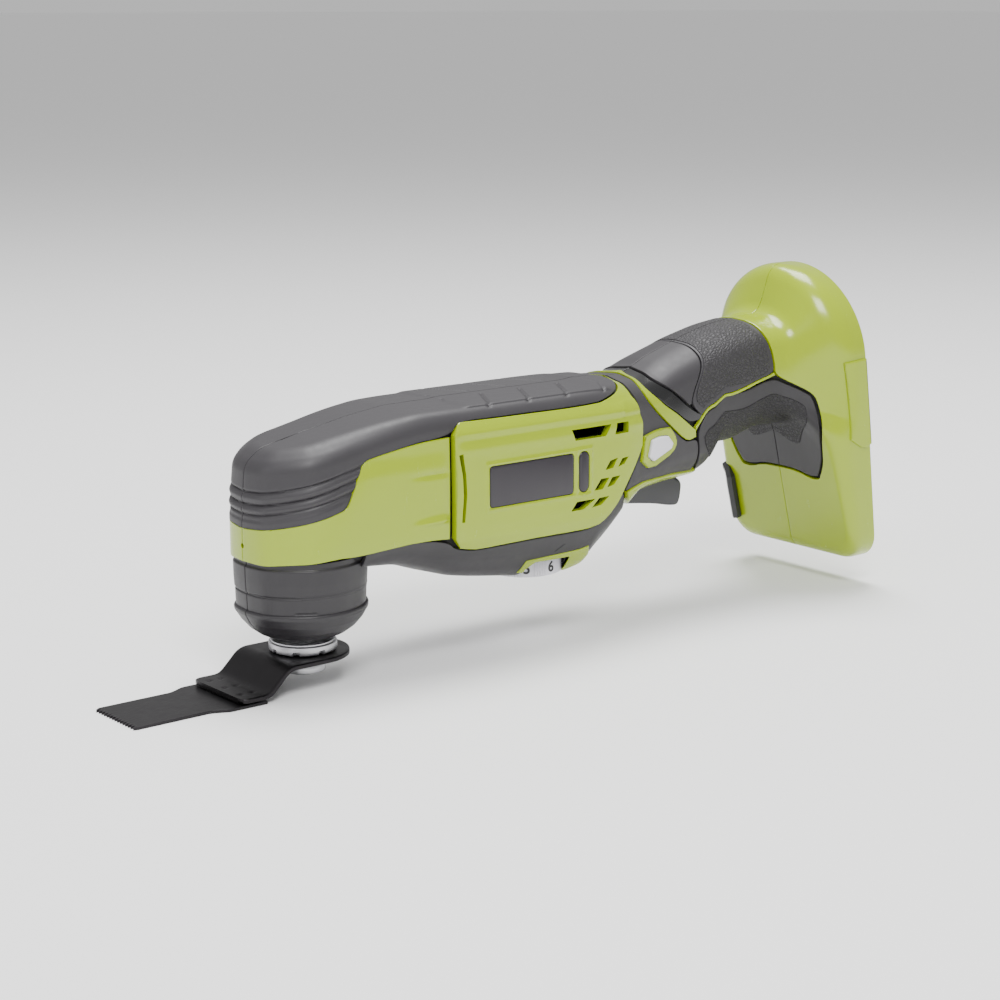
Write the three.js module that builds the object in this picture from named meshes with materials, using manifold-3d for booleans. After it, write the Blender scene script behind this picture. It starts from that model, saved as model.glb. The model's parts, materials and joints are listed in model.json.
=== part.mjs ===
// A cordless oscillating multi-tool: a hollow two-part housing with soft grey overmoulds, a motor that drives
// a fork and spindle through an eccentric bearing, a plunge blade on a cranked bracket, a speed dial, a paddle
// trigger, a lock-on button and a rear foot that takes a slide-in battery stem.
// Millimetres, +Z up. The model is laid out round the spindle axis (X = Y = 0) with the blade towards -X and
// the handle towards +X; the outer group then moves it so that its origin is the middle of its base.
import * as THREE from "three";
import { mergeVertices } from "three/addons/utils/BufferGeometryUtils.js";
import Module from "manifold-3d";

const wasm = await Module();
wasm.setup();

// ---- driving dimensions -------------------------------------------------------------------------------
const HEAD_RADIUS = 25.3; // round nose and boot about the spindle
const BODY_HALF_WIDTH = 26.6; // motor bay, under the side panels
const PANEL_PROUD = 2.4; // raised green side panel on each side of the motor bay
const GRIP_HALF_WIDTH = 21.5; // handle
const FOOT_HALF_WIDTH = 38; // battery foot, which ends in a round arch of this radius
const NECK_LENGTH = 52; // spindle axis to the start of the motor bay
const BAY_LENGTH = 96; // motor bay
const WAIST_LENGTH = 50; // from the bay to the handle
const GRIP_LENGTH = 53; // handle, up to the front of the foot
const DECK_Z = 74; // flat top of the body
const SKIN = 1.6; // thickness of the soft overmoulds
const WALL = 2.4; // moulded wall under the overmoulds
const GAP = 0.3; // between pieces that touch
const FIT = 0.15; // radial clearance of round pieces in their seats
const HALF_GAP = GAP / 2;
const ROUND = 20; // sides of a large round piece
const SMALL_ROUND = 16; // sides of a small one

const BLADE_WIDTH = 28.6;
const BLADE_REACH = 81.7; // tooth tips to the spindle axis
const BLADE_THICKNESS = 1.2;
const BLADE_TOP_Z = -26.6;
const TOOTH_COUNT = 15;
const TOOTH_DEPTH = 1.6;
const BRACKET_WIDTH = 35.5;
const BRACKET_THICKNESS = 2;
const BRACKET_TOP_Z = -15.4; // its clamped plate
const BRACKET_RADIUS = 17.8; // round rear end about the spindle

const FLANGE_RADIUS = 13;
const FLANGE_HEIGHT = 4.4;
const SPINDLE_RADIUS = 5;
const CLAMP_SCREW_RADIUS = 2.9;
const CLAMP_WASHER_RADIUS = 11;
const CLAMP_WASHER_THICKNESS = 2;
const CLAMP_HEAD_RADIUS = 8.6;
const CLAMP_HEAD_HEIGHT = 3.6;
const CLAMP_KEY_RADIUS = 3; // hexagon socket of the clamp screw

const MOTOR_Z = 38; // height of the motor axis
const MOTOR_RADIUS = 18;
const MOTOR_LENGTH = 54;
const MOTOR_SETBACK = 11; // motor can behind the start of the bay
const SHAFT_RADIUS = 2.5;
const ECCENTRIC_OFFSET = 0.5;
const CRANK_RADIUS = 3;
const BEARING_RADIUS = 8; // ball bearings of the shaft and the eccentric
const BEARING_WIDTH = 5;
const COMMUTATOR_RADIUS = 7;

const DIAL_RADIUS = 16.4;
const DIAL_HEIGHT = 7.4;
const DIAL_HUB_RADIUS = 3;
const DIAL_WINDOW = 27; // length of the side openings the rim shows through
const DIAL_SETBACK = 56; // dial axis behind the start of the bay
const DIAL_BOTTOM_Z = -1.2;
const TRIGGER_LENGTH = 38;
const TRIGGER_HALF_WIDTH = 8.5;
const BUTTON_LENGTH = 19;
const BUTTON_HEIGHT = 11;

const STEM_WIDTH = 30; // battery stem socket in the foot
const STEM_HEIGHT = 36;
const STEM_DEPTH = 52;
const FOOT_TILT_DEGREES = 7; // rear face from the vertical
const FOOT_BOTTOM_Z = -15.9;
const ARCH_CENTRE_Z = 75;
const FOOT_WALL = 3;
const RECESS_DEPTH = 6; // rim of the foot round the battery

const HEX_KEY_RADIUS = 2.2; // stored on the foot
const SCREW_RADIUS = 1.5;
const SCREW_HEAD_RADIUS = 3;
const SCREW_HEAD_DEPTH = 2;
const BOSS_WALL = 1.9;

// Places that follow from them.
const BAY_X = NECK_LENGTH;
const WAIST_X = BAY_X + BAY_LENGTH;
const GRIP_X = WAIST_X + WAIST_LENGTH;
const FOOT_X = GRIP_X + GRIP_LENGTH;
const FOOT_REAR_X = FOOT_X + 16.5; // rear face at the height of the arch's centre
const TILT = THREE.MathUtils.degToRad(FOOT_TILT_DEGREES);
const BASE_DEPTH = SKIN + GAP; // top of the moulded wall under an overmould
const CAVITY_DEPTH = BASE_DEPTH + WALL;
const FAR = 400; // past every piece, for cutting tools

const footRearX = (z) => FOOT_REAR_X + (ARCH_CENTRE_Z - z) * Math.tan(TILT);

// ---- solids -------------------------------------------------------------------------------------------
/** A closed three.js geometry as a solid that can be joined and cut; a profile turned inside out is righted. */
function solid(geometry) {
  const bare = geometry.index ? geometry.toNonIndexed() : geometry.clone();
  bare.deleteAttribute("normal");
  bare.deleteAttribute("uv");
  const merged = mergeVertices(bare, 1e-4);
  const build = (triVerts) =>
    new wasm.Manifold(
      new wasm.Mesh({ numProp: 3, vertProperties: merged.attributes.position.array, triVerts }),
    );
  const faces = new Uint32Array(merged.index.array);
  const made = build(faces);
  if (made.volume() > 0) return made;
  const flipped = new Uint32Array(faces.length);
  for (let i = 0; i < faces.length; i += 3) {
    flipped[i] = faces[i];
    flipped[i + 1] = faces[i + 2];
    flipped[i + 2] = faces[i + 1];
  }
  return build(flipped);
}

/** The solid as a three.js geometry with flat-shaded faces. */
function geometryOf(made) {
  const mesh = made.getMesh();
  const points = new Float32Array(mesh.numVert * 3);
  for (let i = 0; i < mesh.numVert; i++) {
    for (let k = 0; k < 3; k++) points[3 * i + k] = mesh.vertProperties[i * mesh.numProp + k];
  }
  const indexed = new THREE.BufferGeometry();
  indexed.setAttribute("position", new THREE.BufferAttribute(points, 3));
  indexed.setIndex(new THREE.BufferAttribute(new Uint32Array(mesh.triVerts), 1));
  const flat = indexed.toNonIndexed();
  flat.computeVertexNormals();
  return flat;
}

/** A block between two corners. */
function block([x0, y0, z0], [x1, y1, z1]) {
  const geometry = new THREE.BoxGeometry(x1 - x0, y1 - y0, z1 - z0);
  geometry.translate((x0 + x1) / 2, (y0 + y1) / 2, (z0 + z1) / 2);
  return solid(geometry);
}

/** A cylinder or cone along X, Y or Z, from one coordinate to another, round a centre in the other two. */
function rod(axis, radius, from, to, [a, b] = [0, 0], { end = radius, sides = ROUND } = {}) {
  const geometry = new THREE.CylinderGeometry(end, radius, to - from, sides);
  geometry.translate(0, (from + to) / 2, 0);
  if (axis === "x") geometry.rotateZ(-Math.PI / 2).translate(0, a, b);
  if (axis === "y") geometry.translate(a, 0, b);
  if (axis === "z") geometry.rotateX(Math.PI / 2).translate(a, b, 0);
  return solid(geometry);
}

/** A ring: a cylinder with a bore. */
function ring(axis, radius, bore, from, to, centre = [0, 0], sides = ROUND) {
  const inner = rod(axis, bore, from - 1, to + 1, centre, { sides });
  return rod(axis, radius, from, to, centre, { sides }).subtract(inner);
}

/** A side-view outline of [x, z] points, extruded across the part from y0 to y1. */
function sidePrism(points, y0 = -FAR, y1 = FAR) {
  const shape = new THREE.Shape(points.map(([x, z]) => new THREE.Vector2(x, z)));
  const geometry = new THREE.ExtrudeGeometry(shape, { depth: y1 - y0, bevelEnabled: false });
  geometry.rotateX(Math.PI / 2).translate(0, y1, 0);
  return solid(geometry);
}

/** A plan-view outline of [x, y] points, extruded from z0 up to z1. */
function planPrism(points, z0, z1) {
  const shape = new THREE.Shape(points.map(([x, y]) => new THREE.Vector2(x, y)));
  const geometry = new THREE.ExtrudeGeometry(shape, { depth: z1 - z0, bevelEnabled: false });
  geometry.translate(0, 0, z0);
  return solid(geometry);
}

/** A profile of [radius, z] points turned about the vertical axis. */
function turned(points, sides = ROUND) {
  const profile = points.map(([r, z]) => new THREE.Vector2(r, z));
  const geometry = new THREE.LatheGeometry(profile, sides);
  geometry.rotateX(Math.PI / 2);
  return solid(geometry);
}

/** A skin through rings of equal point counts, closed by a fan at each end. */
function loft(rings) {
  const count = rings[0].length;
  const points = rings.flat();
  const centre = (row) =>
    row.reduce((sum, p) => sum.map((v, k) => v + p[k] / count), [0, 0, 0]);
  const first = points.push(centre(rings[0])) - 1;
  const last = points.push(centre(rings[rings.length - 1])) - 1;
  const faces = [];
  for (let i = 0; i < count; i++) {
    const j = (i + 1) % count;
    faces.push(first, j, i);
    for (let r = 0; r + 1 < rings.length; r++) {
      const a = r * count;
      const b = a + count;
      faces.push(a + i, a + j, b + j, a + i, b + j, b + i);
    }
    const top = (rings.length - 1) * count;
    faces.push(last, top + i, top + j);
  }
  const geometry = new THREE.BufferGeometry();
  geometry.setAttribute("position", new THREE.Float32BufferAttribute(points.flat(), 3));
  geometry.setIndex(faces);
  return solid(geometry);
}

/** An outline moved outwards by a distance, its corners mitred. */
function grown(points, by) {
  const count = points.length;
  const area = points.reduce((sum, [x, z], i) => {
    const [nx, nz] = points[(i + 1) % count];
    return sum + x * nz - nx * z;
  }, 0);
  const turn = Math.sign(area);
  const normal = ([ax, az], [bx, bz]) => {
    const length = Math.hypot(bx - ax, bz - az);
    return [(turn * (bz - az)) / length, (-turn * (bx - ax)) / length];
  };
  return points.map((point, i) => {
    const [mx, mz] = normal(points[(i + count - 1) % count], point);
    const [nx, nz] = normal(point, points[(i + 1) % count]);
    const scale = by / Math.max(0.3, 1 + mx * nx + mz * nz);
    return [point[0] + (mx + nx) * scale, point[1] + (mz + nz) * scale];
  });
}

const union = (...solids) => solids.reduce((sum, s) => sum.add(s));
const leftHalf = block([-FAR, -FAR, -FAR], [FAR, -HALF_GAP, FAR]);
const rightHalf = block([-FAR, HALF_GAP, -FAR], [FAR, FAR, FAR]);

// ---- housing shape ------------------------------------------------------------------------------------
// Sections along X: top and bottom height, half width, top corner and bottom corner (width, height).
function bodySections() {
  const nose = HEAD_RADIUS;
  const w = BODY_HALF_WIDTH;
  const g = GRIP_HALF_WIDTH;
  const top = DECK_Z;
  return [
    { x: -nose, top: top - 27, bottom: 23, half: nose * 0.36, corner: 3, belly: [1, 1] },
    { x: -nose + 0.7, top: top - 20, bottom: 22.4, half: nose * 0.46, corner: 4, belly: [1, 1] },
    { x: -nose + 1.9, top: top - 14, bottom: 21.8, half: nose * 0.56, corner: 5, belly: [1, 1] },
    { x: -nose + 4.8, top: top - 10.8, bottom: 21, half: nose * 0.72, corner: 6, belly: [1, 1] },
    { x: -nose + 10.3, top: top - 8.8, bottom: 20.4, half: nose * 0.86, corner: 7, belly: [1, 1] },
    { x: -nose + 20, top: top - 7, bottom: 19.4, half: nose * 0.98, corner: 7, belly: [2, 2] },
    { x: 6, top: top - 5.1, bottom: 18, half: nose, corner: 7, belly: [4, 4] },
    { x: BAY_X - 30, top: top - 2.2, bottom: 16, half: nose, corner: 7, belly: [9, 8] },
    { x: BAY_X - 11, top: top - 0.2, bottom: 11, half: nose + 0.4, corner: 7, belly: [12, 12] },
    { x: BAY_X + 2, top, bottom: 7, half: w - 0.4, corner: 7, belly: [13, 13] },
    { x: BAY_X + 12, top, bottom: 3.6, half: w, corner: 6.5, belly: [14, 14] },
    { x: BAY_X + 36, top, bottom: 0.2, half: w, corner: 6.5, belly: [14, 16] },
    { x: BAY_X + 63, top, bottom: -2.6, half: w, corner: 6.5, belly: [14, 18] },
    { x: BAY_X + 73, top: top + 0.3, bottom: -0.6, half: w, corner: 7, belly: [14, 17] },
    { x: WAIST_X - 17, top: top + 0.6, bottom: 4, half: w, corner: 8, belly: [14, 16] },
    { x: WAIST_X - 8, top: top + 0.6, bottom: 11, half: w - 0.8, corner: 10, belly: [12, 12] },
    { x: WAIST_X - 1, top: top + 0.4, bottom: 20.4, half: w - 2, corner: 12, belly: [9, 9] },
    { x: WAIST_X + 6, top, bottom: 26.4, half: w - 3.2, corner: 13, belly: [6, 6] },
    { x: WAIST_X + 17, top: top + 2.2, bottom: 28, half: g + 1, corner: 13, belly: [5, 6] },
    { x: WAIST_X + 25, top: top + 5.8, bottom: 28.3, half: g + 0.4, corner: 13, belly: [5, 7] },
    { x: WAIST_X + 41, top: top + 10.6, bottom: 28.6, half: g, corner: 13, belly: [6, 8] },
    { x: GRIP_X - 3, top: top + 12.8, bottom: 29, half: g, corner: 13, belly: [8, 10] },
    { x: GRIP_X + 3, top: top + 14.5, bottom: 40, half: g, corner: 13, belly: [10, 10] },
    { x: GRIP_X + 18, top: top + 16.9, bottom: 41, half: g, corner: 13, belly: [10, 10] },
    { x: GRIP_X + 32, top: top + 17.9, bottom: 42.5, half: g, corner: 13, belly: [10, 10] },
    { x: FOOT_X + 1, top: top + 18.4, bottom: 44, half: g, corner: 13, belly: [10, 10] },
  ];
}

/** One closed ring of a body section, drawn in by an offset. */
function sectionRing(section, inset) {
  const top = section.top - inset;
  const bottom = section.bottom + inset;
  const half = section.half - inset;
  const c = Math.min(section.corner, half * 0.8);
  const belly = Math.min(section.belly[0], half * 0.7);
  const rise = section.belly[1];
  const side = [
    [half - c, top - 0.05 * c],
    [half - 0.3 * c, top - 0.3 * c],
    [half, top - c],
    [half, bottom + rise],
    [half - 0.3 * belly, bottom + 0.42 * rise],
    [half - belly, bottom],
  ];
  const x = section.x;
  const right = side.map(([y, z]) => [x, y, z]);
  const left = side.map(([y, z]) => [x, -y, z]).reverse();
  return [[x, 0, top], ...right, ...left];
}

function body(inset) {
  const rings = bodySections().map((section) => sectionRing(section, inset));
  const front = rings[0].map(([x, y, z]) => [x + inset, y, z]);
  return loft([front, ...rings.slice(inset > 0 ? Math.ceil(inset / 1.5) + 1 : 1)]);
}

/** The round boot below the head, about the spindle axis. */
const BOOT_TOP_Z = 23;
const BOOT_NECK_Z = -8.4;
const NECK_RADIUS = 13;
function boot(inset) {
  const r = HEAD_RADIUS - inset;
  return turned([
    [0, BOOT_NECK_Z + inset],
    [NECK_RADIUS - inset * 0.5, BOOT_NECK_Z + inset],
    [NECK_RADIUS + 1 - inset * 0.5, BOOT_NECK_Z + 1.4 + inset],
    [r - 4.4, BOOT_NECK_Z + 4 + inset],
    [r - 1.2, BOOT_NECK_Z + 8 + inset],
    [r - 0.6, BOOT_NECK_Z + 12.5],
    [r - 0.4, BOOT_TOP_Z],
    [r - 0.4, BOOT_TOP_Z + 1.5],
    [0, BOOT_TOP_Z + 1.5],
  ]);
}

// The foot's side view: the top of the handle, the dome, the rear face, the base and the front face.
const FOOT_FRONT_TOP = { dx: -3.8, z: 41 };
const FOOT_FRONT_BOTTOM_DX = 11;
function footUpper(inset) {
  const arch = ARCH_CENTRE_Z + FOOT_HALF_WIDTH - inset;
  const rear = (z) => footRearX(z);
  const side = sidePrism([
    [FOOT_X - 26, 46 + inset],
    [FOOT_X - 26, 91 - inset],
    [FOOT_X - 20 + inset, 93.7 - inset],
    [FOOT_X - 13.8 + inset, 98.5 - inset],
    [FOOT_X - 9.6 + inset, 104.9 - inset],
    [FOOT_X - 7 + inset, arch - 2.4],
    [FOOT_X - 1 + inset, arch - 0.3],
    [FOOT_X + 3 + inset, arch],
    [rear(arch), arch],
    [rear(30), 30],
    [FOOT_X + FOOT_FRONT_TOP.dx + inset, 30],
    [FOOT_X + FOOT_FRONT_TOP.dx + inset, 46 + inset],
  ]);
  const w = FOOT_HALF_WIDTH - inset;
  const g = GRIP_HALF_WIDTH - inset;
  const flare = [
    [FOOT_X - 27, g],
    [FOOT_X - 19, g + 2.6],
    [FOOT_X - 12, g + 6.6],
    [FOOT_X - 6, g + 11],
    [FOOT_X, w - 2.6],
    [FOOT_X + 7, w - 0.5],
    [FOOT_X + 12, w],
    [FOOT_X + 40, w],
  ];
  const plan = planPrism([...flare, ...flare.map(([x, y]) => [x, -y]).reverse()], 0, FAR);
  const archSteps = 14;
  const outline = [];
  for (let i = 0; i <= archSteps; i++) {
    const angle = (Math.PI * i) / archSteps;
    outline.push([w * Math.cos(angle), ARCH_CENTRE_Z + w * Math.sin(angle)]);
  }
  const shape = new THREE.Shape(
    [...outline, [-w, 0], [w, 0]].map(([y, z]) => new THREE.Vector2(y, z)),
  );
  const front = new THREE.ExtrudeGeometry(shape, { depth: 100, bevelEnabled: false });
  front.rotateX(Math.PI / 2).rotateZ(Math.PI / 2).translate(FOOT_X - 50, 0, 0);
  return side.intersect(plan).intersect(solid(front));
}

/** The lower foot: its plan outline at the base and at the top of its front face. */
function footLower(inset) {
  const w = FOOT_HALF_WIDTH - inset;
  const outline = (z) => {
    const t = (z - FOOT_BOTTOM_Z) / (FOOT_FRONT_TOP.z - FOOT_BOTTOM_Z);
    const front = FOOT_X + FOOT_FRONT_BOTTOM_DX + (FOOT_FRONT_TOP.dx - FOOT_FRONT_BOTTOM_DX) * t + inset;
    const rear = footRearX(z);
    const half = w - 1.5 * (1 - t);
    const side = [
      [front, half - 14],
      [front + 1.4, half - 8],
      [front + 4.6, half - 3.2],
      [front + 9.4, half],
      [rear, half],
    ];
    const left = side.map(([x, y]) => [x, -y, z]).reverse();
    return [...side.map(([x, y]) => [x, y, z]), ...left];
  };
  const base = FOOT_BOTTOM_Z + inset;
  const chamfer = outline(base).map(([x, y, z]) => [x, y * 0.93, z]);
  return loft([chamfer, outline(base + 4), outline(FOOT_FRONT_TOP.z)]);
}

const foot = (inset) => footUpper(inset).add(footLower(inset));
const envelope = (inset) => union(body(inset), boot(inset), foot(inset));

// ---- colour regions, as side-view outlines ----------------------------------------------------------------
const SEAM_SLOPE = 0.25; // the grooves and the cap's lower edge rise towards the rear
const CAP_EDGE_Z = 41.7;
const CAP_END_X = WAIST_X + 2;
const capOutline = [
  [-2 * HEAD_RADIUS, CAP_EDGE_Z - 2 * HEAD_RADIUS * SEAM_SLOPE],
  [2.4, CAP_EDGE_Z + 0.4],
  [5.8, 46.9],
  [10.9, 57.9],
  [15.5, 60],
  [BAY_X - 0.4, DECK_Z - 9],
  [BAY_X + 3.1, DECK_Z - 4.2],
  [CAP_END_X - 24, DECK_Z - 3.4],
  [CAP_END_X - 10, DECK_Z - 1.6],
  [CAP_END_X - 3, DECK_Z],
  [CAP_END_X, DECK_Z + 10],
  [-2 * HEAD_RADIUS, DECK_Z + 10],
];
const BOOT_EDGE_Z = 24.2;
const BELLY_X = 24;
const bootOutline = [
  [-2 * HEAD_RADIUS, BOOT_EDGE_Z - 5],
  [0, BOOT_EDGE_Z],
  [BELLY_X, BOOT_EDGE_Z],
  [BELLY_X, -40],
  [-2 * HEAD_RADIUS, -40],
];
const bellyOutline = [
  [BELLY_X + GAP, BOOT_EDGE_Z],
  [BAY_X - 1, BOOT_EDGE_Z],
  [BAY_X + 5, BOOT_EDGE_Z - 6],
  [BAY_X + 62, BOOT_EDGE_Z - 5.4],
  [BAY_X + 76, BOOT_EDGE_Z - 2.4],
  [WAIST_X - 13, BOOT_EDGE_Z + 0.4],
  [WAIST_X - 6, BOOT_EDGE_Z + 3],
  [WAIST_X - 2, BOOT_EDGE_Z + 3],
  [WAIST_X - 2, -40],
  [BELLY_X + GAP, -40],
];
const panelOutline = [
  [BAY_X, BOOT_EDGE_Z - 2],
  [BAY_X, DECK_Z - 8],
  [BAY_X + 3.6, DECK_Z - 4.6],
  [CAP_END_X - 24, DECK_Z - 3.8],
  [CAP_END_X - 14, DECK_Z - 2.6],
  [WAIST_X - 6, DECK_Z - 11.7],
  [WAIST_X - 1, DECK_Z - 22],
  [WAIST_X, DECK_Z - 35],
  [WAIST_X - 3.4, DECK_Z - 43],
  [WAIST_X - 10, DECK_Z - 48],
  [BAY_X + 62, BOOT_EDGE_Z - 4.8],
  [BAY_X + 5.4, BOOT_EDGE_Z - 5.4],
];
const WAIST_EDGE_Z = 31;
const waistOutline = [
  [WAIST_X - 12, DECK_Z + 10],
  [WAIST_X - 8, DECK_Z - 4],
  [WAIST_X - 1.6, DECK_Z - 15],
  [WAIST_X + 1.4, DECK_Z - 28],
  [WAIST_X + 0.8, DECK_Z - 38],
  [WAIST_X - 1, WAIST_EDGE_Z - 2],
  [WAIST_X + 16, WAIST_EDGE_Z],
  [WAIST_X + 35, WAIST_EDGE_Z],
  [WAIST_X + 35, 52],
  [WAIST_X + 31, 46.2],
  [WAIST_X + 17, 58],
  [WAIST_X + 8, 69.5],
  [WAIST_X + 11, DECK_Z + 10],
];
const gripOutline = [
  [WAIST_X + 18, DECK_Z + 12],
  [WAIST_X + 18, DECK_Z - 2],
  [WAIST_X + 24, DECK_Z - 12],
  [WAIST_X + 35, 54.8],
  [WAIST_X + 45.5, 60.6],
  [GRIP_X + 26.5, 69.4],
  [GRIP_X + 30, 73.4],
  [GRIP_X + 28.6, 82],
  [GRIP_X + 21, DECK_Z + 26],
];
const FOOT_PAD_BOTTOM_Z = 24;
const footPadOutline = [
  [WAIST_X + 35 + GAP, 30],
  [WAIST_X + 35 + GAP, 53],
  [WAIST_X + 46, 58.6],
  [GRIP_X + 27, 66.6],
  [GRIP_X + 32, 67.6],
  [FOOT_X + 5, 56.8],
  [FOOT_X + 9.6, FOOT_PAD_BOTTOM_Z],
  [FOOT_X - 10, FOOT_PAD_BOTTOM_Z - 2],
  [FOOT_X - 14, 30],
];

const outlines = {
  cap: capOutline,
  boot: bootOutline,
  belly: bellyOutline,
  waist: waistOutline,
  grip: gripOutline,
  footPad: footPadOutline,
};
const FOOT_PAD_HALF_WIDTH = FOOT_HALF_WIDTH - 9; // on the foot's front, between its rounded corners

/** The space of one overmould, grown by a distance: its side-view outline, and a limit on the foot's width. */
function region(name, by = 0) {
  const prism = sidePrism(grown(outlines[name], by));
  if (name !== "footPad") return prism;
  const half = FOOT_PAD_HALF_WIDTH + by;
  const front = block([FOOT_X - 30, -half, -FAR], [FAR, half, FAR]);
  return prism.intersect(front.add(block([-FAR, -FAR, -FAR], [FOOT_X - 29, FAR, FAR])));
}

// ---- drive train positions ---------------------------------------------------------------------------------
const AXIS_CENTRE = [0, MOTOR_Z];
const MOTOR_X = BAY_X + MOTOR_SETBACK;
const MOTOR_END_X = MOTOR_X + MOTOR_LENGTH;
const FLANGE_TOP_Z = BRACKET_TOP_Z + GAP + FLANGE_HEIGHT;
const CASE_RADIUS = HEAD_RADIUS - CAVITY_DEPTH - 1.2;
const CASE_WALL = 2;
const CASE_FLOOR_Z = -3;
const CASE_SHOULDER = 7; // height of the taper above its floor
const CASE_TOP_Z = DECK_Z - 19;
const SPINDLE_BEARING_RADIUS = SPINDLE_RADIUS + 5.5;
const SPINDLE_BEARING_HEIGHT = 6;
const LOWER_BEARING_Z = CASE_FLOOR_Z + CASE_WALL;
const ECCENTRIC_X = SPINDLE_RADIUS + 3.5;
const FRONT_BEARING_X = CASE_RADIUS + 12;
const REAR_BEARING_X = MOTOR_END_X + 17;
const FORK_GAP = 1.5; // between the eccentric bearing and each fork arm
const FORK_ARM = 3.2;
const FORK_REACH = ECCENTRIC_X + BEARING_WIDTH;
const FORK_HEIGHT = 13;

// ---- openings and seats in the housing -------------------------------------------------------------------------
const STEM_AXIS_Z = 66; // where the stem's axis meets the rear face
const toFootFrame = (made) =>
  made
    .rotate([0, -FOOT_TILT_DEGREES, 0])
    .translate([footRearX(STEM_AXIS_Z), 0, STEM_AXIS_Z]);

function footOpenings() {
  const half = FOOT_HALF_WIDTH - FOOT_WALL;
  const slab = toFootFrame(block([-RECESS_DEPTH, -FAR, -FAR], [20, FAR, FAR]));
  const recess = foot(FOOT_WALL).intersect(slab);
  const stem = toFootFrame(
    block(
      [-STEM_DEPTH, -STEM_WIDTH / 2, -STEM_HEIGHT / 2],
      [10, STEM_WIDTH / 2, STEM_HEIGHT / 2],
    ),
  );
  const behind = toFootFrame(block([-FAR, -FAR, -FAR], [-RECESS_DEPTH - WALL, FAR, FAR]));
  const sleeve = toFootFrame(
    block(
      [-STEM_DEPTH - WALL, -STEM_WIDTH / 2 - WALL, -STEM_HEIGHT / 2 - WALL],
      [10, STEM_WIDTH / 2 + WALL, STEM_HEIGHT / 2 + WALL],
    ),
  );
  const hollow = foot(CAVITY_DEPTH)
    .intersect(behind)
    .intersect(block([FOOT_X - 18, -half, -FAR], [FAR, half, FAR]));
  return { recess, stem, sleeve, hollow };
}

const BUTTON_X = WAIST_X + 13;
const BUTTON_Z = 46;
const BUTTON_SEAT_Y = -(GRIP_HALF_WIDTH + 1.6); // outer face of the waist at the button
const BEZEL_RIM = 3.6;
/** A stretched hexagon, leaning back like the waist, about a centre in the side view. */
function hexOutline(length, height) {
  const l = length / 2;
  const h = height / 2;
  const lean = 0.12 * length;
  return [
    [-l, -0.25 * h],
    [-l + lean, -h],
    [l - 0.3 * l, -0.4 * h],
    [l, 0.2 * h],
    [l - lean, h],
    [-l + 0.35 * l, 0.55 * h],
  ].map(([x, z]) => [BUTTON_X + x, BUTTON_Z + z]);
}

const TRIGGER_X = WAIST_X + 1.5;
const TRIGGER_PIVOT_Z = 30;
const TRIGGER_TIP_X = TRIGGER_X + TRIGGER_LENGTH;
const DIAL_X = BAY_X + DIAL_SETBACK;
const BOARD_Z = DIAL_BOTTOM_Z + DIAL_HEIGHT + 4.4;

const VENT_ROWS = [
  { x: 58, z: 56, length: 15, height: 4 },
  { x: 80.5, z: 56, length: 6.5, height: 4 },
  { x: 77, z: 43.5, length: 4, height: 3 },
  { x: 84, z: 43.5, length: 3, height: 3 },
  { x: 72, z: 35.5, length: 4, height: 4.6 },
  { x: 79, z: 35.5, length: 4, height: 4.6 },
  { x: 61, z: 27, length: 9, height: 4 },
  { x: 72, z: 27, length: 3.4, height: 4 },
];
const FAN_SLOT = { x: 0.6, z: 32, width: 1.8, height: 24 };
const BADGE = { x: 17, z: 34.4, length: 40.5, height: 16.5, thickness: 0.8 };
const INSERT = { x: 61.4, z: 34.6, length: 4.4, height: 15.6, thickness: 1.2 };

// Housing screws: place in the side view, and how far each reaches to either side of the seam.
const SCREWS = [
  { x: BAY_X - 22, z: DECK_Z - 12, reach: 18 },
  { x: BAY_X - 20, z: 20, reach: 18 },
  { x: WAIST_X - 4, z: DECK_Z - 11, reach: 17 },
  { x: BAY_X + 80, z: 15, reach: 14 },
  { x: GRIP_X - 8, z: DECK_Z - 1, reach: 13 },
  { x: FOOT_X + 13, z: 8, reach: 24 },
];

/** A vent slot leans back a little: its outline in the side view. */
function ventOutline({ x, z, length, height }) {
  const lean = 0.35 * height;
  return [
    [BAY_X + x, z],
    [BAY_X + x + length, z],
    [BAY_X + x + length + lean, z + height],
    [BAY_X + x + lean, z + height],
  ];
}

const rectangle = ({ x, z, length, height }) => [
  [BAY_X + x, z],
  [BAY_X + x + length, z],
  [BAY_X + x + length, z + height],
  [BAY_X + x, z + height],
];
const PANEL_Y = BODY_HALF_WIDTH + PANEL_PROUD;

/** The stored hex key, an L-shaped bar along the foot's right front corner, or the wider groove it lies in. */
function hexKey(radius) {
  const corner = (z) => {
    const t = (z - FOOT_BOTTOM_Z) / (FOOT_FRONT_TOP.z - FOOT_BOTTOM_Z);
    return FOOT_X + FOOT_FRONT_BOTTOM_DX + (FOOT_FRONT_TOP.dx - FOOT_FRONT_BOTTOM_DX) * t;
  };
  const y = FOOT_HALF_WIDTH - 6;
  const path = new THREE.CatmullRomCurve3(
    [
      [corner(16) + 11, y + 5.4, 17.4],
      [corner(16) + 5, y + 4.4, 17],
      [corner(14) + 2.6, y + 0.6, 14.6],
      [corner(10) + 2, y, 10],
      [corner(2) + 2, y, 2],
      [corner(-7) + 2, y, -7],
    ].map(([px, py, pz]) => new THREE.Vector3(px, py, pz)),
  );
  const shape = new THREE.Shape();
  for (let i = 0; i < 6; i++) {
    const angle = (i * Math.PI) / 3;
    const [sx, sy] = [radius * Math.cos(angle), radius * Math.sin(angle)];
    if (i === 0) shape.moveTo(sx, sy);
    else shape.lineTo(sx, sy);
  }
  return solid(new THREE.ExtrudeGeometry(shape, { steps: 10, extrudePath: path, bevelEnabled: false }));
}

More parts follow.
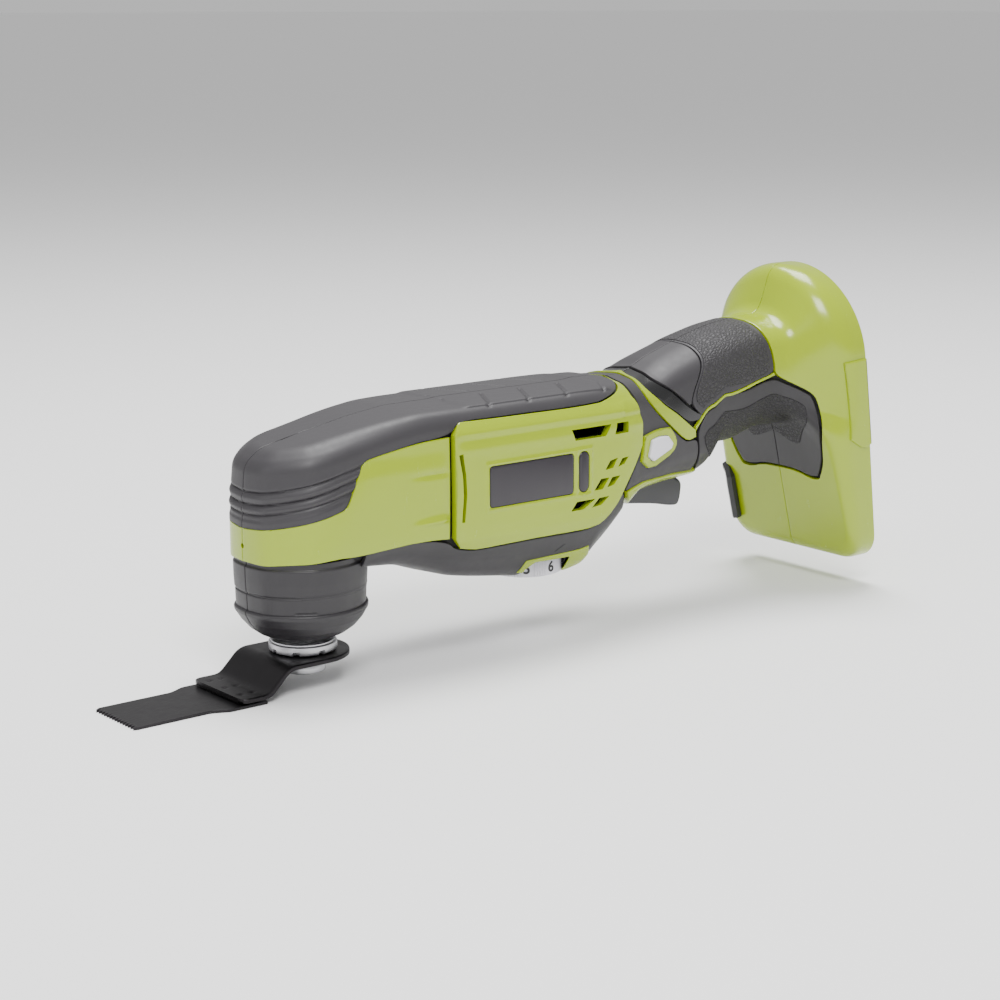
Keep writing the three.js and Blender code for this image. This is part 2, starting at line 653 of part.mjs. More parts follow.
/** The room the dial and its hub turn in, open below and to both sides. */
function dialWay() {
  const rim = rod("z", DIAL_RADIUS + 0.6, -20, DIAL_BOTTOM_Z + DIAL_HEIGHT + 0.6, [DIAL_X, 0]);
  const hub = rod("z", DIAL_HUB_RADIUS + 0.5, 0, BOARD_Z, [DIAL_X, 0], { sides: SMALL_ROUND });
  const side = block([DIAL_X - DIAL_WINDOW / 2, -FAR, -20], [DIAL_X + DIAL_WINDOW / 2, FAR, DIAL_BOTTOM_Z + DIAL_HEIGHT - 1.2]);
  return union(rim, hub, side);
}

/** The slot the trigger swings in. */
function triggerWay() {
  const half = TRIGGER_HALF_WIDTH + 0.6;
  return block([TRIGGER_X - 1.4, -half, 10], [TRIGGER_TIP_X + 2, half, TRIGGER_PIVOT_Z + 9]);
}

/** Pilot holes for the screws' shanks and, from the right, wells for their heads. */
function screwWays() {
  const ways = SCREWS.map(({ x, z, reach }) => {
    const shank = rod("y", SCREW_RADIUS + 0.2, -reach - 1, FAR, [x, z], { sides: 12 });
    return shank.add(rod("y", SCREW_HEAD_RADIUS + GAP, reach - GAP, FAR, [x, z], { sides: 12 }));
  });
  return union(...ways);
}

/** The whole housing before it is split: outer form, less the overmoulds' beds, the cavity and every opening. */
function housing() {
  const panel = body(-PANEL_PROUD).intersect(sidePrism(panelOutline));
  const bezel = sidePrism(hexOutline(BUTTON_LENGTH + 2 * BEZEL_RIM, BUTTON_HEIGHT + 2 * BEZEL_RIM));
  const bezelPad = bezel.intersect(
    block([-FAR, BUTTON_SEAT_Y - 1.4, -FAR], [FAR, BUTTON_SEAT_Y + 5, FAR]),
  );
  const { recess, stem, sleeve, hollow } = footOpenings();
  const beds = Object.keys(outlines)
    .map((name) => region(name, GAP))
    .reduce((sum, space) => sum.add(space))
    .subtract(envelope(BASE_DEPTH));
  let cavity = body(CAVITY_DEPTH).add(boot(CAVITY_DEPTH)).add(hollow).subtract(sleeve);
  // Ribs seat the motor can; each is a plate across the bay with the can's hole in it.
  for (const x of [MOTOR_X + 6, MOTOR_END_X - 8]) {
    const plate = block([x, -FAR, BOARD_Z + 6], [x + 2, FAR, DECK_Z]);
    cavity = cavity.subtract(plate);
  }
  cavity = cavity.add(rod("x", MOTOR_RADIUS + GAP, MOTOR_X - 2, MOTOR_END_X + 2, AXIS_CENTRE));
  for (const { x, z } of SCREWS) {
    const boss = rod("y", SCREW_RADIUS + BOSS_WALL, -FAR, FAR, [x, z], { sides: 12 });
    cavity = cavity.subtract(boss);
  }
  let made = envelope(0).add(panel).add(bezelPad).subtract(beds.subtract(panel).subtract(bezelPad));
  made = made.subtract(cavity).subtract(recess).subtract(stem);
  made = made.subtract(rod("z", NECK_RADIUS - 1.6, -40, CASE_FLOOR_Z + 2));
  const caseRoom = turned([
    [0, CASE_FLOOR_Z - GAP],
    [CASE_RADIUS - 5, CASE_FLOOR_Z - GAP],
    [CASE_RADIUS + GAP, CASE_FLOOR_Z + CASE_SHOULDER - GAP],
    [CASE_RADIUS + GAP, CASE_TOP_Z + 4 + GAP],
    [0, CASE_TOP_Z + 4 + GAP],
  ]);
  made = made.subtract(caseRoom);
  made = made.subtract(dialWay()).subtract(triggerWay());
  const buttonWay = sidePrism(grown(hexOutline(BUTTON_LENGTH, BUTTON_HEIGHT), 0.4), -FAR, 0);
  made = made.subtract(buttonWay);
  for (const vent of VENT_ROWS) made = made.subtract(sidePrism(ventOutline(vent)));
  const slot = { ...FAN_SLOT, length: FAN_SLOT.width };
  made = made.subtract(sidePrism(rectangle(slot)));
  for (const plate of [BADGE, INSERT]) {
    const bed = sidePrism(grown(rectangle(plate), GAP));
    const core = block(
      [0, -PANEL_Y + plate.thickness + GAP, 0],
      [WAIST_X, PANEL_Y - plate.thickness - GAP, DECK_Z],
    );
    made = made.subtract(bed.subtract(core));
  }
  return made.subtract(screwWays()).subtract(hexKey(HEX_KEY_RADIUS + GAP));
}

const skin = envelope(0).subtract(envelope(SKIN));

/** An overmould: the outer skin inside its region, less what the openings take. */
function overmould(name, half, openings) {
  const made = skin.intersect(region(name)).intersect(half).subtract(openings);
  return name === "waist" ? made.subtract(region("cap", GAP)) : made;
}

/** The largest connected piece, dropping slivers that a cut leaves behind. */
function largest(made) {
  return made.decompose().sort((a, b) => b.volume() - a.volume())[0];
}

// ---- pieces ---------------------------------------------------------------------------------------------
const finishes = {
  green: { color: 0xb8cc10, roughness: 0.3, metalness: 0 },
  soft: { color: 0x5a575c, roughness: 0.65, metalness: 0 },
  dark: { color: 0x3c3a40, roughness: 0.6, metalness: 0 },
  black: { color: 0x25252a, roughness: 0.5, metalness: 0 },
  pale: { color: 0xd6d4da, roughness: 0.4, metalness: 0 },
  steel: { color: 0xa8a9ad, roughness: 0.3, metalness: 1 },
  bladeSteel: { color: 0x5a585a, roughness: 0.45, metalness: 0.9 },
  cast: { color: 0x9b9ca0, roughness: 0.5, metalness: 0.8 },
  brass: { color: 0xc09a52, roughness: 0.35, metalness: 1 },
  copper: { color: 0xb4683a, roughness: 0.35, metalness: 1 },
  carbon: { color: 0x2c2c2e, roughness: 0.8, metalness: 0 },
  board: { color: 0x1f5a3a, roughness: 0.5, metalness: 0 },
};
const tool = new THREE.Group();

/** Adds a named piece with its own material. */
function piece(name, made, finish) {
  const mesh = new THREE.Mesh(geometryOf(made), new THREE.MeshStandardMaterial(finishes[finish]));
  mesh.name = name;
  tool.add(mesh);
  return mesh;
}

const SIDES = [
  ["left", leftHalf],
  ["right", rightHalf],
];

function addShells() {
  const shell = housing();
  const openings = openingCuts();
  for (const [side, half] of SIDES) {
    piece(`housing_${side}`, largest(shell.intersect(half)), "green");
    for (const [name, space, finish] of [
      ["top_cap", "cap", "soft"],
      ["boot", "boot", "dark"],
      ["belly_pad", "belly", "soft"],
      ["waist_pad", "waist", "soft"],
      ["handle_grip", "grip", "soft"],
      ["foot_pad", "footPad", "dark"],
    ]) {
      piece(`${name}_${side}`, largest(overmould(space, half, openings)), finish);
    }
  }
}

/** What the housing's openings and raised details take out of the overmoulds. */
function openingCuts() {
  const neck = rod("z", NECK_RADIUS - 1.6, -40, CASE_FLOOR_Z + 6);
  const panel = body(-PANEL_PROUD - 1).intersect(sidePrism(grown(panelOutline, GAP)));
  const hex = hexOutline(BUTTON_LENGTH + 2 * BEZEL_RIM, BUTTON_HEIGHT + 2 * BEZEL_RIM);
  const bezel = sidePrism(grown(hex, GAP), -FAR, 0);
  const stem = footOpenings().stem;
  return union(neck, dialWay(), triggerWay(), panel, bezel, stem, screwWays());
}

function addPlates() {
  for (const [side, half] of SIDES) {
    const sign = side === "left" ? -1 : 1;
    for (const [name, plate, finish] of [
      ["badge", BADGE, "dark"],
      ["side_insert", INSERT, "dark"],
    ]) {
      const inner = sign * (PANEL_Y - plate.thickness);
      const outer = sign * (PANEL_Y + 0.1);
      const made = sidePrism(rectangle(plate), Math.min(inner, outer), Math.max(inner, outer));
      piece(`${name}_${side}`, made.intersect(half), finish);
    }
  }
}

function addScrews() {
  SCREWS.forEach(({ x, z, reach }, i) => {
    const shank = rod("y", SCREW_RADIUS, -reach, reach + 0.5, [x, z], { sides: 10 });
    const head = rod("y", SCREW_HEAD_RADIUS, reach, reach + SCREW_HEAD_DEPTH, [x, z], { sides: 12 });
    piece(`housing_screw_${i + 1}`, shank.add(head), "steel");
  });
}

function addSpindle() {
  const flangeTop = FLANGE_TOP_Z;
  const top = CASE_TOP_Z + 2;
  const bore = rod("z", CLAMP_SCREW_RADIUS + 0.2, BRACKET_TOP_Z - 1, BRACKET_TOP_Z + 16, [0, 0], { sides: SMALL_ROUND });
  const shaft = rod("z", SPINDLE_RADIUS, BRACKET_TOP_Z + GAP + 0.6, top);
  piece("spindle", shaft.subtract(bore), "steel");
  let flange = ring("z", FLANGE_RADIUS, SPINDLE_RADIUS + FIT, BRACKET_TOP_Z + GAP, flangeTop);
  const notches = 8;
  for (let i = 0; i < notches; i++) {
    const angle = ((i + 0.5) * 360) / notches;
    const notch = block([FLANGE_RADIUS - 1.4, -1.8, -20], [FLANGE_RADIUS + 2, 1.8, BRACKET_TOP_Z + 1.7]);
    flange = flange.subtract(notch.rotate([0, 0, angle]));
  }
  piece("arbor_flange", flange, "steel");
  const bearing = (z) =>
    ring("z", SPINDLE_BEARING_RADIUS, SPINDLE_RADIUS + FIT, z, z + SPINDLE_BEARING_HEIGHT);
  piece("lower_bearing", bearing(LOWER_BEARING_Z), "steel");
  piece("upper_bearing", bearing(CASE_TOP_Z - SPINDLE_BEARING_HEIGHT - GAP), "steel");
}

function addFork() {
  const z0 = MOTOR_Z - FORK_HEIGHT / 2;
  const z1 = MOTOR_Z + FORK_HEIGHT / 2;
  const inner = BEARING_RADIUS + FORK_GAP;
  const hub = rod("z", SPINDLE_RADIUS + 3, z0, z1);
  const bridge = block([2, -inner - FORK_ARM, z0], [7.5, inner + FORK_ARM, z1]);
  const arm = (sign) => {
    const [y0, y1] = sign < 0 ? [-inner - FORK_ARM, -inner] : [inner, inner + FORK_ARM];
    return block([7, y0, z0], [FORK_REACH, y1, z1]);
  };
  const bore = rod("z", SPINDLE_RADIUS + FIT, z0 - 1, z1 + 1);
  const reach = rod("z", CASE_RADIUS - CASE_WALL - 0.8, z0 - 2, z1 + 2);
  const made = union(hub, bridge, arm(-1), arm(1)).subtract(bore).intersect(reach);
  piece("fork", made, "cast");
}

function addGearCase() {
  const inside = CASE_RADIUS - CASE_WALL;
  const barrel = turned([
    [0, CASE_FLOOR_Z],
    [CASE_RADIUS - 5, CASE_FLOOR_Z],
    [CASE_RADIUS, CASE_FLOOR_Z + CASE_SHOULDER],
    [CASE_RADIUS, CASE_TOP_Z],
    [0, CASE_TOP_Z],
  ]);
  const noseTube = rod("x", BEARING_RADIUS + 3, 8, FRONT_BEARING_X + BEARING_WIDTH + 1, AXIS_CENTRE);
  const room = rod("z", inside, LOWER_BEARING_Z + SPINDLE_BEARING_HEIGHT + 1, CASE_TOP_Z + 1);
  const seat = rod("z", SPINDLE_BEARING_RADIUS + FIT, LOWER_BEARING_Z - 0.2, CASE_TOP_Z);
  const neck = rod("z", SPINDLE_RADIUS + 1.2, -20, CASE_TOP_Z);
  const tubeBore = rod("x", BEARING_RADIUS + FIT, 6, FRONT_BEARING_X + BEARING_WIDTH + 3, AXIS_CENTRE);
  const made = barrel.add(noseTube).subtract(union(room, seat, neck, tubeBore));
  piece("gear_case", made, "cast");
  const lid = rod("z", CASE_RADIUS, CASE_TOP_Z + GAP, CASE_TOP_Z + 4);
  const rim = rod("z", inside - 0.2, CASE_TOP_Z - SPINDLE_BEARING_HEIGHT, CASE_TOP_Z + 0.5);
  const pocket = rod("z", SPINDLE_BEARING_RADIUS + FIT, CASE_TOP_Z - 10, CASE_TOP_Z);
  const tip = rod("z", SPINDLE_RADIUS + 1, CASE_TOP_Z - 10, CASE_TOP_Z + 2.6);
  piece("gear_case_cover", lid.add(rim).subtract(pocket).subtract(tip), "cast");
}

function addMotor() {
  const bore = SHAFT_RADIUS + FIT;
  const shaftStart = ECCENTRIC_X + BEARING_WIDTH + 1;
  const shaft = rod("x", SHAFT_RADIUS, shaftStart, REAR_BEARING_X + BEARING_WIDTH, AXIS_CENTRE, { sides: SMALL_ROUND });
  piece("armature_shaft", shaft, "steel");
  const pin = [0, MOTOR_Z + ECCENTRIC_OFFSET];
  const collar = rod("x", SHAFT_RADIUS + 2.5, shaftStart - 0.5, shaftStart + 8, AXIS_CENTRE, { sides: SMALL_ROUND });
  const crank = rod("x", CRANK_RADIUS, ECCENTRIC_X - GAP, shaftStart, pin, { sides: SMALL_ROUND });
  const socket = rod("x", bore, shaftStart - GAP, FAR, AXIS_CENTRE, { sides: SMALL_ROUND });
  piece("eccentric", collar.add(crank).subtract(socket), "steel");
  const bearingEnd = ECCENTRIC_X + BEARING_WIDTH;
  const bearing = ring("x", BEARING_RADIUS, CRANK_RADIUS + FIT, ECCENTRIC_X, bearingEnd, pin, SMALL_ROUND);
  piece("eccentric_bearing", bearing, "steel");
  for (const [name, x] of [
    ["front_motor_bearing", FRONT_BEARING_X],
    ["rear_motor_bearing", REAR_BEARING_X],
  ]) {
    const made = ring("x", BEARING_RADIUS - 0.2, bore, x, x + BEARING_WIDTH, AXIS_CENTRE, SMALL_ROUND);
    piece(name, made, "steel");
  }
  piece("armature_core", armatureCore(bore), "copper");
  const commutator = ring("x", COMMUTATOR_RADIUS, bore, MOTOR_END_X + 3, MOTOR_END_X + 13, AXIS_CENTRE, SMALL_ROUND);
  piece("commutator", commutator, "copper");
  piece("fan", fan(bore), "black");
  const can = ring("x", MOTOR_RADIUS, MOTOR_RADIUS - 1.6, MOTOR_X, MOTOR_END_X, AXIS_CENTRE);
  const face = ring("x", MOTOR_RADIUS - 1, SHAFT_RADIUS + 3, MOTOR_X, MOTOR_X + 1.6, AXIS_CENTRE);
  piece("motor_can", can.add(face), "steel");
  const arc = ring("x", MOTOR_RADIUS - 1.9, MOTOR_RADIUS - 4.6, MOTOR_X + 6, MOTOR_END_X - 6, AXIS_CENTRE);
  const lower = block([0, -FAR, -FAR], [FAR, FAR, MOTOR_Z - 5]);
  const upper = block([0, -FAR, MOTOR_Z + 5], [FAR, FAR, FAR]);
  piece("magnet_lower", arc.intersect(lower), "carbon");
  piece("magnet_upper", arc.intersect(upper), "carbon");
  addBrushEnd();
}

function armatureCore(bore) {
  const radius = MOTOR_RADIUS - 5.4;
  let made = ring("x", radius, bore, MOTOR_X + 9, MOTOR_END_X - 5, AXIS_CENTRE);
  const slots = 5;
  for (let i = 0; i < slots; i++) {
    const cut = block([0, -1, radius - 4], [FAR, 1, radius + 2]);
    made = made.subtract(cut.rotate([(i * 360) / slots, 0, 0]).translate([0, 0, MOTOR_Z]));
  }
  return made;
}

function fan(bore) {
  const start = BAY_X - 3;
  const end = MOTOR_X - 1.5;
  const radius = MOTOR_RADIUS - 1.4;
  const blades = 6;
  let made = rod("x", SHAFT_RADIUS + 3, start, end, AXIS_CENTRE);
  made = made.add(rod("x", radius, end - 2, end, AXIS_CENTRE));
  for (let i = 0; i < blades; i++) {
    const blade = block([start + 1, -0.7, 3], [end - 1, 0.7, radius - 0.5]);
    made = made.add(blade.rotate([(i * 360) / blades, 0, 0]).translate([0, 0, MOTOR_Z]));
  }
  return made.subtract(rod("x", bore, start - 1, end + 1, AXIS_CENTRE));
}

function addBrushEnd() {
  const start = MOTOR_END_X + GAP;
  const end = REAR_BEARING_X + BEARING_WIDTH + 1.4;
  const cup = rod("x", MOTOR_RADIUS - 0.6, start, end, AXIS_CENTRE);
  const room = rod("x", MOTOR_RADIUS - 2.4, start - 1, REAR_BEARING_X - 1, AXIS_CENTRE);
  const seat = rod("x", BEARING_RADIUS, start, end - 1.2, AXIS_CENTRE);
  const windows = block([start + 3, -FAR, MOTOR_Z - 3.4], [start + 11, FAR, MOTOR_Z + 3.4]);
  piece("end_bell", cup.subtract(union(room, seat, windows)), "black");
  for (const [side, sign] of [
    ["left", -1],
    ["right", 1],
  ]) {
    const tip = COMMUTATOR_RADIUS + 0.4;
    const [y0, y1] = sign < 0 ? [1 - MOTOR_RADIUS, -tip] : [tip, MOTOR_RADIUS - 1];
    const made = block([start + 4, y0, MOTOR_Z - 2.6], [start + 10, y1, MOTOR_Z + 2.6]);
    piece(`brush_${side}`, made, "carbon");
  }
}

function addBlade() {
  const plateTop = BRACKET_TOP_Z;
  const plateBottom = plateTop - BRACKET_THICKNESS;
  const footTop = BLADE_TOP_Z + GAP + BRACKET_THICKNESS;
  const footBottom = BLADE_TOP_Z + GAP;
  const frontX = -38.3;
  const lowBend = -26;
  const highBend = -17.4;
  const crank = sidePrism([
    [frontX, footBottom],
    [lowBend + 0.6, footBottom],
    [highBend + 0.6, plateBottom],
    [BRACKET_RADIUS, plateBottom],
    [BRACKET_RADIUS, plateTop],
    [highBend, plateTop],
    [lowBend, footTop],
    [frontX, footTop],
  ]);
  const w = BRACKET_WIDTH / 2;
  const outline = [
    [frontX, -w + 4],
    [frontX + 4, -w],
    [0, -w],
  ];
  const steps = 12;
  for (let i = 1; i < steps; i++) {
    const angle = -Math.PI / 2 + (Math.PI * i) / steps;
    outline.push([BRACKET_RADIUS * Math.cos(angle), w * Math.sin(angle)]);
  }
  outline.push([0, w], [frontX + 4, w], [frontX, w - 4]);
  const hole = rod("z", CLAMP_SCREW_RADIUS + 0.4, -40, 0, [0, 0], { sides: SMALL_ROUND });
  const bracket = crank.intersect(planPrism(outline, -40, 0)).subtract(hole);
  piece("blade_bracket", bracket, "bladeSteel");
  piece("blade", plungeBlade(lowBend - 1.5), "bladeSteel");
}

/** The plunge blade: a toothed front edge, straight flanks and a wider tail under the bracket. */
function plungeBlade(tailX) {
  const half = BLADE_WIDTH / 2;
  const tailHalf = BRACKET_WIDTH / 2 - 0.4;
  const pitch = BLADE_WIDTH / TOOTH_COUNT;
  const outline = [];
  for (let i = 0; i < TOOTH_COUNT; i++) {
    outline.push([-BLADE_REACH + TOOTH_DEPTH, half - i * pitch]);
    outline.push([-BLADE_REACH, half - (i + 0.5) * pitch]);
  }
  outline.push([-BLADE_REACH + TOOTH_DEPTH, -half], [-50, -half]);
  outline.push([-46, -half - 0.8], [-43, -tailHalf + 0.6], [-40, -tailHalf], [tailX, -tailHalf]);
  outline.push([tailX, tailHalf], [-40, tailHalf], [-43, tailHalf - 0.6], [-46, half + 0.8], [-50, half]);
  return planPrism(outline, BLADE_TOP_Z - BLADE_THICKNESS, BLADE_TOP_Z);
}

function addClamp() {
  const washerTop = BRACKET_TOP_Z - BRACKET_THICKNESS - GAP;
  const washerBottom = washerTop - CLAMP_WASHER_THICKNESS;
  const made = ring("z", CLAMP_WASHER_RADIUS, CLAMP_SCREW_RADIUS + 0.3, washerBottom, washerTop);
  piece("clamp_washer", made, "steel");
  const headTop = washerBottom - GAP;
  const head = rod("z", CLAMP_HEAD_RADIUS - 0.5, headTop - CLAMP_HEAD_HEIGHT, headTop, [0, 0], { end: CLAMP_HEAD_RADIUS });
  const shank = rod("z", CLAMP_SCREW_RADIUS, headTop - 0.5, BRACKET_TOP_Z + 12, [0, 0], { sides: SMALL_ROUND });
  const key = rod("z", CLAMP_KEY_RADIUS, headTop - CLAMP_HEAD_HEIGHT - 1, headTop - 1, [0, 0], { sides: 6 });
  piece("clamp_screw", head.add(shank).subtract(key), "steel");
}

function addControls() {
  const dial = rod("z", DIAL_RADIUS, DIAL_BOTTOM_Z, DIAL_BOTTOM_Z + DIAL_HEIGHT, [DIAL_X, 0], { sides: 36 });
  const rimTop = DIAL_BOTTOM_Z + DIAL_HEIGHT;
  const hub = rod("z", DIAL_HUB_RADIUS, rimTop - 1, BOARD_Z - GAP, [DIAL_X, 0], { sides: 12 });
  piece("speed_dial", dial.add(hub), "pale");
  const board = block([DIAL_X - 14, -9, BOARD_Z], [DIAL_X + 14, 9, BOARD_Z + 1.6]);
  const pot = block([DIAL_X - 5, -5, BOARD_Z + 1.4], [DIAL_X + 5, 5, BOARD_Z + 4.4]);
  piece("speed_board", board.add(pot), "board");
  const y = TRIGGER_HALF_WIDTH;
  const paddle = sidePrism(
    [
      [TRIGGER_X, 23],
      [TRIGGER_X + 5, 20.6],
      [TRIGGER_X + 16, 19.4],
      [TRIGGER_X + 26, 17.4],
      [TRIGGER_TIP_X - 1.6, 15.6],
      [TRIGGER_TIP_X, 17.6],
      [TRIGGER_TIP_X, 25.4],
      [TRIGGER_X + 30, 30],
      [TRIGGER_X + 4, TRIGGER_PIVOT_Z + 2.6],
      [TRIGGER_X, TRIGGER_PIVOT_Z + 1],
    ],
    -y,
    y,
  );
  piece("trigger", paddle, "black");
  const springX = TRIGGER_X + 22;
  const spring = rod("z", 3, 31.8, 37.4, [springX, 0], { sides: 12 });
  piece("trigger_spring", spring, "steel");
  const switchBody = block([TRIGGER_X + 8, -9, TRIGGER_PIVOT_Z + 8], [TRIGGER_TIP_X - 4, 9, TRIGGER_PIVOT_Z + 26]);
  piece("switch_body", switchBody, "black");
  const outer = BUTTON_SEAT_Y - 1.8;
  const cap = sidePrism(hexOutline(BUTTON_LENGTH, BUTTON_HEIGHT), outer, outer + 8);
  piece("lock_button", cap, "pale");
}

function addBatterySocket() {
  const end = -STEM_DEPTH - WALL - GAP;
  const blockBody = toFootFrame(block([end - 8, -12, -13], [end, 12, 13]));
  piece("terminal_block", blockBody.intersect(body(CAVITY_DEPTH + GAP)), "black");
  for (const [side, y] of [
    ["left", -7],
    ["right", 7],
  ]) {
    const blade = toFootFrame(block([-STEM_DEPTH + GAP, y - 0.5, -5], [-STEM_DEPTH + 13, y + 0.5, 5]));
    piece(`battery_contact_${side}`, blade, "brass");
  }
}

addShells();
addPlates();
addScrews();
addSpindle();
addFork();
addGearCase();
addMotor();
addBlade();
addClamp();
addControls();
addBatterySocket();
piece("hex_key", hexKey(HEX_KEY_RADIUS), "black");

const part = new THREE.Group();
part.add(tool);
const FRONT_X = -BLADE_REACH;
const REAR_X = footRearX(FOOT_BOTTOM_Z);
tool.position.set(-(FRONT_X + REAR_X) / 2, 0, BLADE_THICKNESS - BLADE_TOP_Z);

export default part;
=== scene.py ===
"""The looks of a cordless oscillating multi-tool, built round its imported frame.

Lengths in the classes are millimetres in the layout frame: the spindle axis is X = Y = 0, +X runs back along
the handle, the left side is -Y. `Layout` turns them into the frame's metres.
"""

import json
import logging
import math
from dataclasses import dataclass, field
from enum import Enum
from typing import Callable, Optional, Sequence, Union

import bmesh
import bpy
import numpy as np
from mathutils import Matrix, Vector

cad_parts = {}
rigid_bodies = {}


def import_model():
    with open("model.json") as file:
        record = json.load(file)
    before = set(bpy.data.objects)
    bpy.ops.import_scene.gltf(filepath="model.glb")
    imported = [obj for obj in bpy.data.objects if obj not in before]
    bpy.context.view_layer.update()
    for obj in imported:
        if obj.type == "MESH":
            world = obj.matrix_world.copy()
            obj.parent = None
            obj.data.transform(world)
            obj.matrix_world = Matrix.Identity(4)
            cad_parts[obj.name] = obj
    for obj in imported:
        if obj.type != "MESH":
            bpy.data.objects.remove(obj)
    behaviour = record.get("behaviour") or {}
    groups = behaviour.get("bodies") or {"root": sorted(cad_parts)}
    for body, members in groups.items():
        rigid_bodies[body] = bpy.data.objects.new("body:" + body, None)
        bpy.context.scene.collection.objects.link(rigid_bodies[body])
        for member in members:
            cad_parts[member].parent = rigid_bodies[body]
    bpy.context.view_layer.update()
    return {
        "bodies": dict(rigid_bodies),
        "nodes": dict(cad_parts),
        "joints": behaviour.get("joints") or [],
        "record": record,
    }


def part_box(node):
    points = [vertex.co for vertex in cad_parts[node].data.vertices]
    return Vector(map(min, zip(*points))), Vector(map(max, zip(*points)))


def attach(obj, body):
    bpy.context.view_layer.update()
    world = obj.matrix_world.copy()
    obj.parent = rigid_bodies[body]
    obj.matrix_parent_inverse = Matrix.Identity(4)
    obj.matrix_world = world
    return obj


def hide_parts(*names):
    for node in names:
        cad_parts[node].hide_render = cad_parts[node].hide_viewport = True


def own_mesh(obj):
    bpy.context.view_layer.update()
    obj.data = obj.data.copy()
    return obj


Array = np.ndarray
Point = Sequence[float]
Rise = Union[float, Callable[[Array, Array, Array], Array]]
log = logging.getLogger("multi_tool")
FREE = float("nan")  # a coordinate that a lookup leaves open


# ---- smooth numbers ------------------------------------------------------------------------------------
def smoothstep(low: float, high: float, value: Array) -> Array:
    """Rises from 0 at low to 1 at high along 3t^2 - 2t^3.

    Args:
        low: where the rise starts.
        high: where it ends; below low, the step falls instead.
        value: any array.

    Returns:
        The step, shaped like value.
    """
    t = np.clip((value - low) / (high - low), 0.0, 1.0)
    return t * t * (3.0 - 2.0 * t)


def ridge(centre: Union[float, Array], width: float, value: Array) -> Array:
    """A bell: e to the power of -((value - centre) / width) squared.

    Args:
        centre: where it peaks at 1.
        width: its reach.
        value: any array.

    Returns:
        The bell, shaped like value.
    """
    return np.exp(-(((value - centre) / width) ** 2))


def corner_growth(azimuth: Array) -> Array:
    """How far the head's and boot's outline swells at their soft corners, as a share of the radius.

    0.026 e^-((a - 26) / 11)^2 + 0.012 e^-((a - 66) / 10)^2.

    Args:
        azimuth: degrees from the nose.

    Returns:
        The share, shaped like azimuth.
    """
    return 0.026 * ridge(26.0, 11.0, azimuth) + 0.012 * ridge(66.0, 10.0, azimuth)


def track(knots: Array, values: Array, at: Array) -> Array:
    """A smooth curve through rows of values that never overshoots them.

    Cubic Hermite spans; the slope at a knot is the harmonic mean of the two chords beside it, or zero where
    they differ in sign.

    Args:
        knots: rising positions, n of them.
        values: n rows of m numbers.
        at: where to read the curve, k positions.

    Returns:
        k rows of m numbers.
    """
    step = np.diff(knots)[:, None]
    chord = np.diff(values, axis=0) / step
    before, after = chord[:-1], chord[1:]
    product = before * after
    total = before + after
    inner = np.where(product > 0, 2.0 * product / np.where(total == 0, 1.0, total), 0.0)
    slope = np.vstack([chord[:1], inner, chord[-1:]])
    span = np.clip(np.searchsorted(knots, at, side="right") - 1, 0, len(knots) - 2)
    h = step[span]
    t = ((at - knots[span]) / h[:, 0])[:, None]
    t = np.clip(t, 0.0, 1.0)
    return (
        (1 + 2 * t) * (1 - t) ** 2 * values[span]
        + t * (1 - t) ** 2 * h * slope[span]
        + t * t * (3 - 2 * t) * values[span + 1]
        - t * t * (1 - t) * h * slope[span + 1]
    )


def filleted(corners: Array, reach: Array, bend_steps: int, run_steps: Sequence[int]) -> Array:
    """Rows of broken lines with every inner corner rounded.

    A corner becomes the quadratic Bezier curve that leaves the line `reach` before the corner and joins it
    `reach` after; the straight runs between are divided evenly.

    Args:
        corners: (rows, corners, dimensions).
        reach: (rows, corners - 2), cut down where a run is short.
        bend_steps: spans in each rounded corner.
        run_steps: spans in each straight run.

    Returns:
        (rows, points, dimensions), with the same layout of points in every row.
    """
    legs = np.diff(corners, axis=1)
    length = np.linalg.norm(legs, axis=2)
    unit = legs / np.maximum(length, 1e-9)[..., None]
    room = 0.48 * np.minimum(length[:, :-1], length[:, 1:])
    cut = np.minimum(reach, room)[..., None]
    start = corners[:, 1:-1] - cut * unit[:, :-1]
    end = corners[:, 1:-1] + cut * unit[:, 1:]
    q = np.linspace(0.0, 1.0, bend_steps + 1)[None, :, None]
    parts = []
    last = corners[:, :1]
    for k in range(corners.shape[1] - 1):
        is_end = k == corners.shape[1] - 2
        stop = corners[:, -1:] if is_end else start[:, k : k + 1]
        t = np.linspace(0.0, 1.0, run_steps[k] + 1)[None, :, None]
        run = last + (stop - last) * t
        parts.append(run if is_end else run[:, :-1])
        if not is_end:
            middle = corners[:, k + 1 : k + 2]
            a, b = start[:, k : k + 1], end[:, k : k + 1]
            bend = (1 - q) ** 2 * a + 2 * q * (1 - q) * middle + q * q * b
            parts.append(bend[:, :-1])
            last = b
    return np.concatenate(parts, axis=1)


def evened(lines: Array, share: Array) -> Array:
    """Points at given shares of each line's length.

    Args:
        lines: (rows, points, dimensions).
        share: shares from 0 to 1.

    Returns:
        (rows, shares, dimensions).
    """
    steps = np.linalg.norm(np.diff(lines, axis=1), axis=2)
    length = np.concatenate([np.zeros((len(lines), 1)), np.cumsum(steps, axis=1)], axis=1)
    return np.stack([
        np.stack([np.interp(share * l[-1], l, p[:, k]) for k in range(lines.shape[2])], axis=-1)
        for l, p in zip(length, lines)
    ])


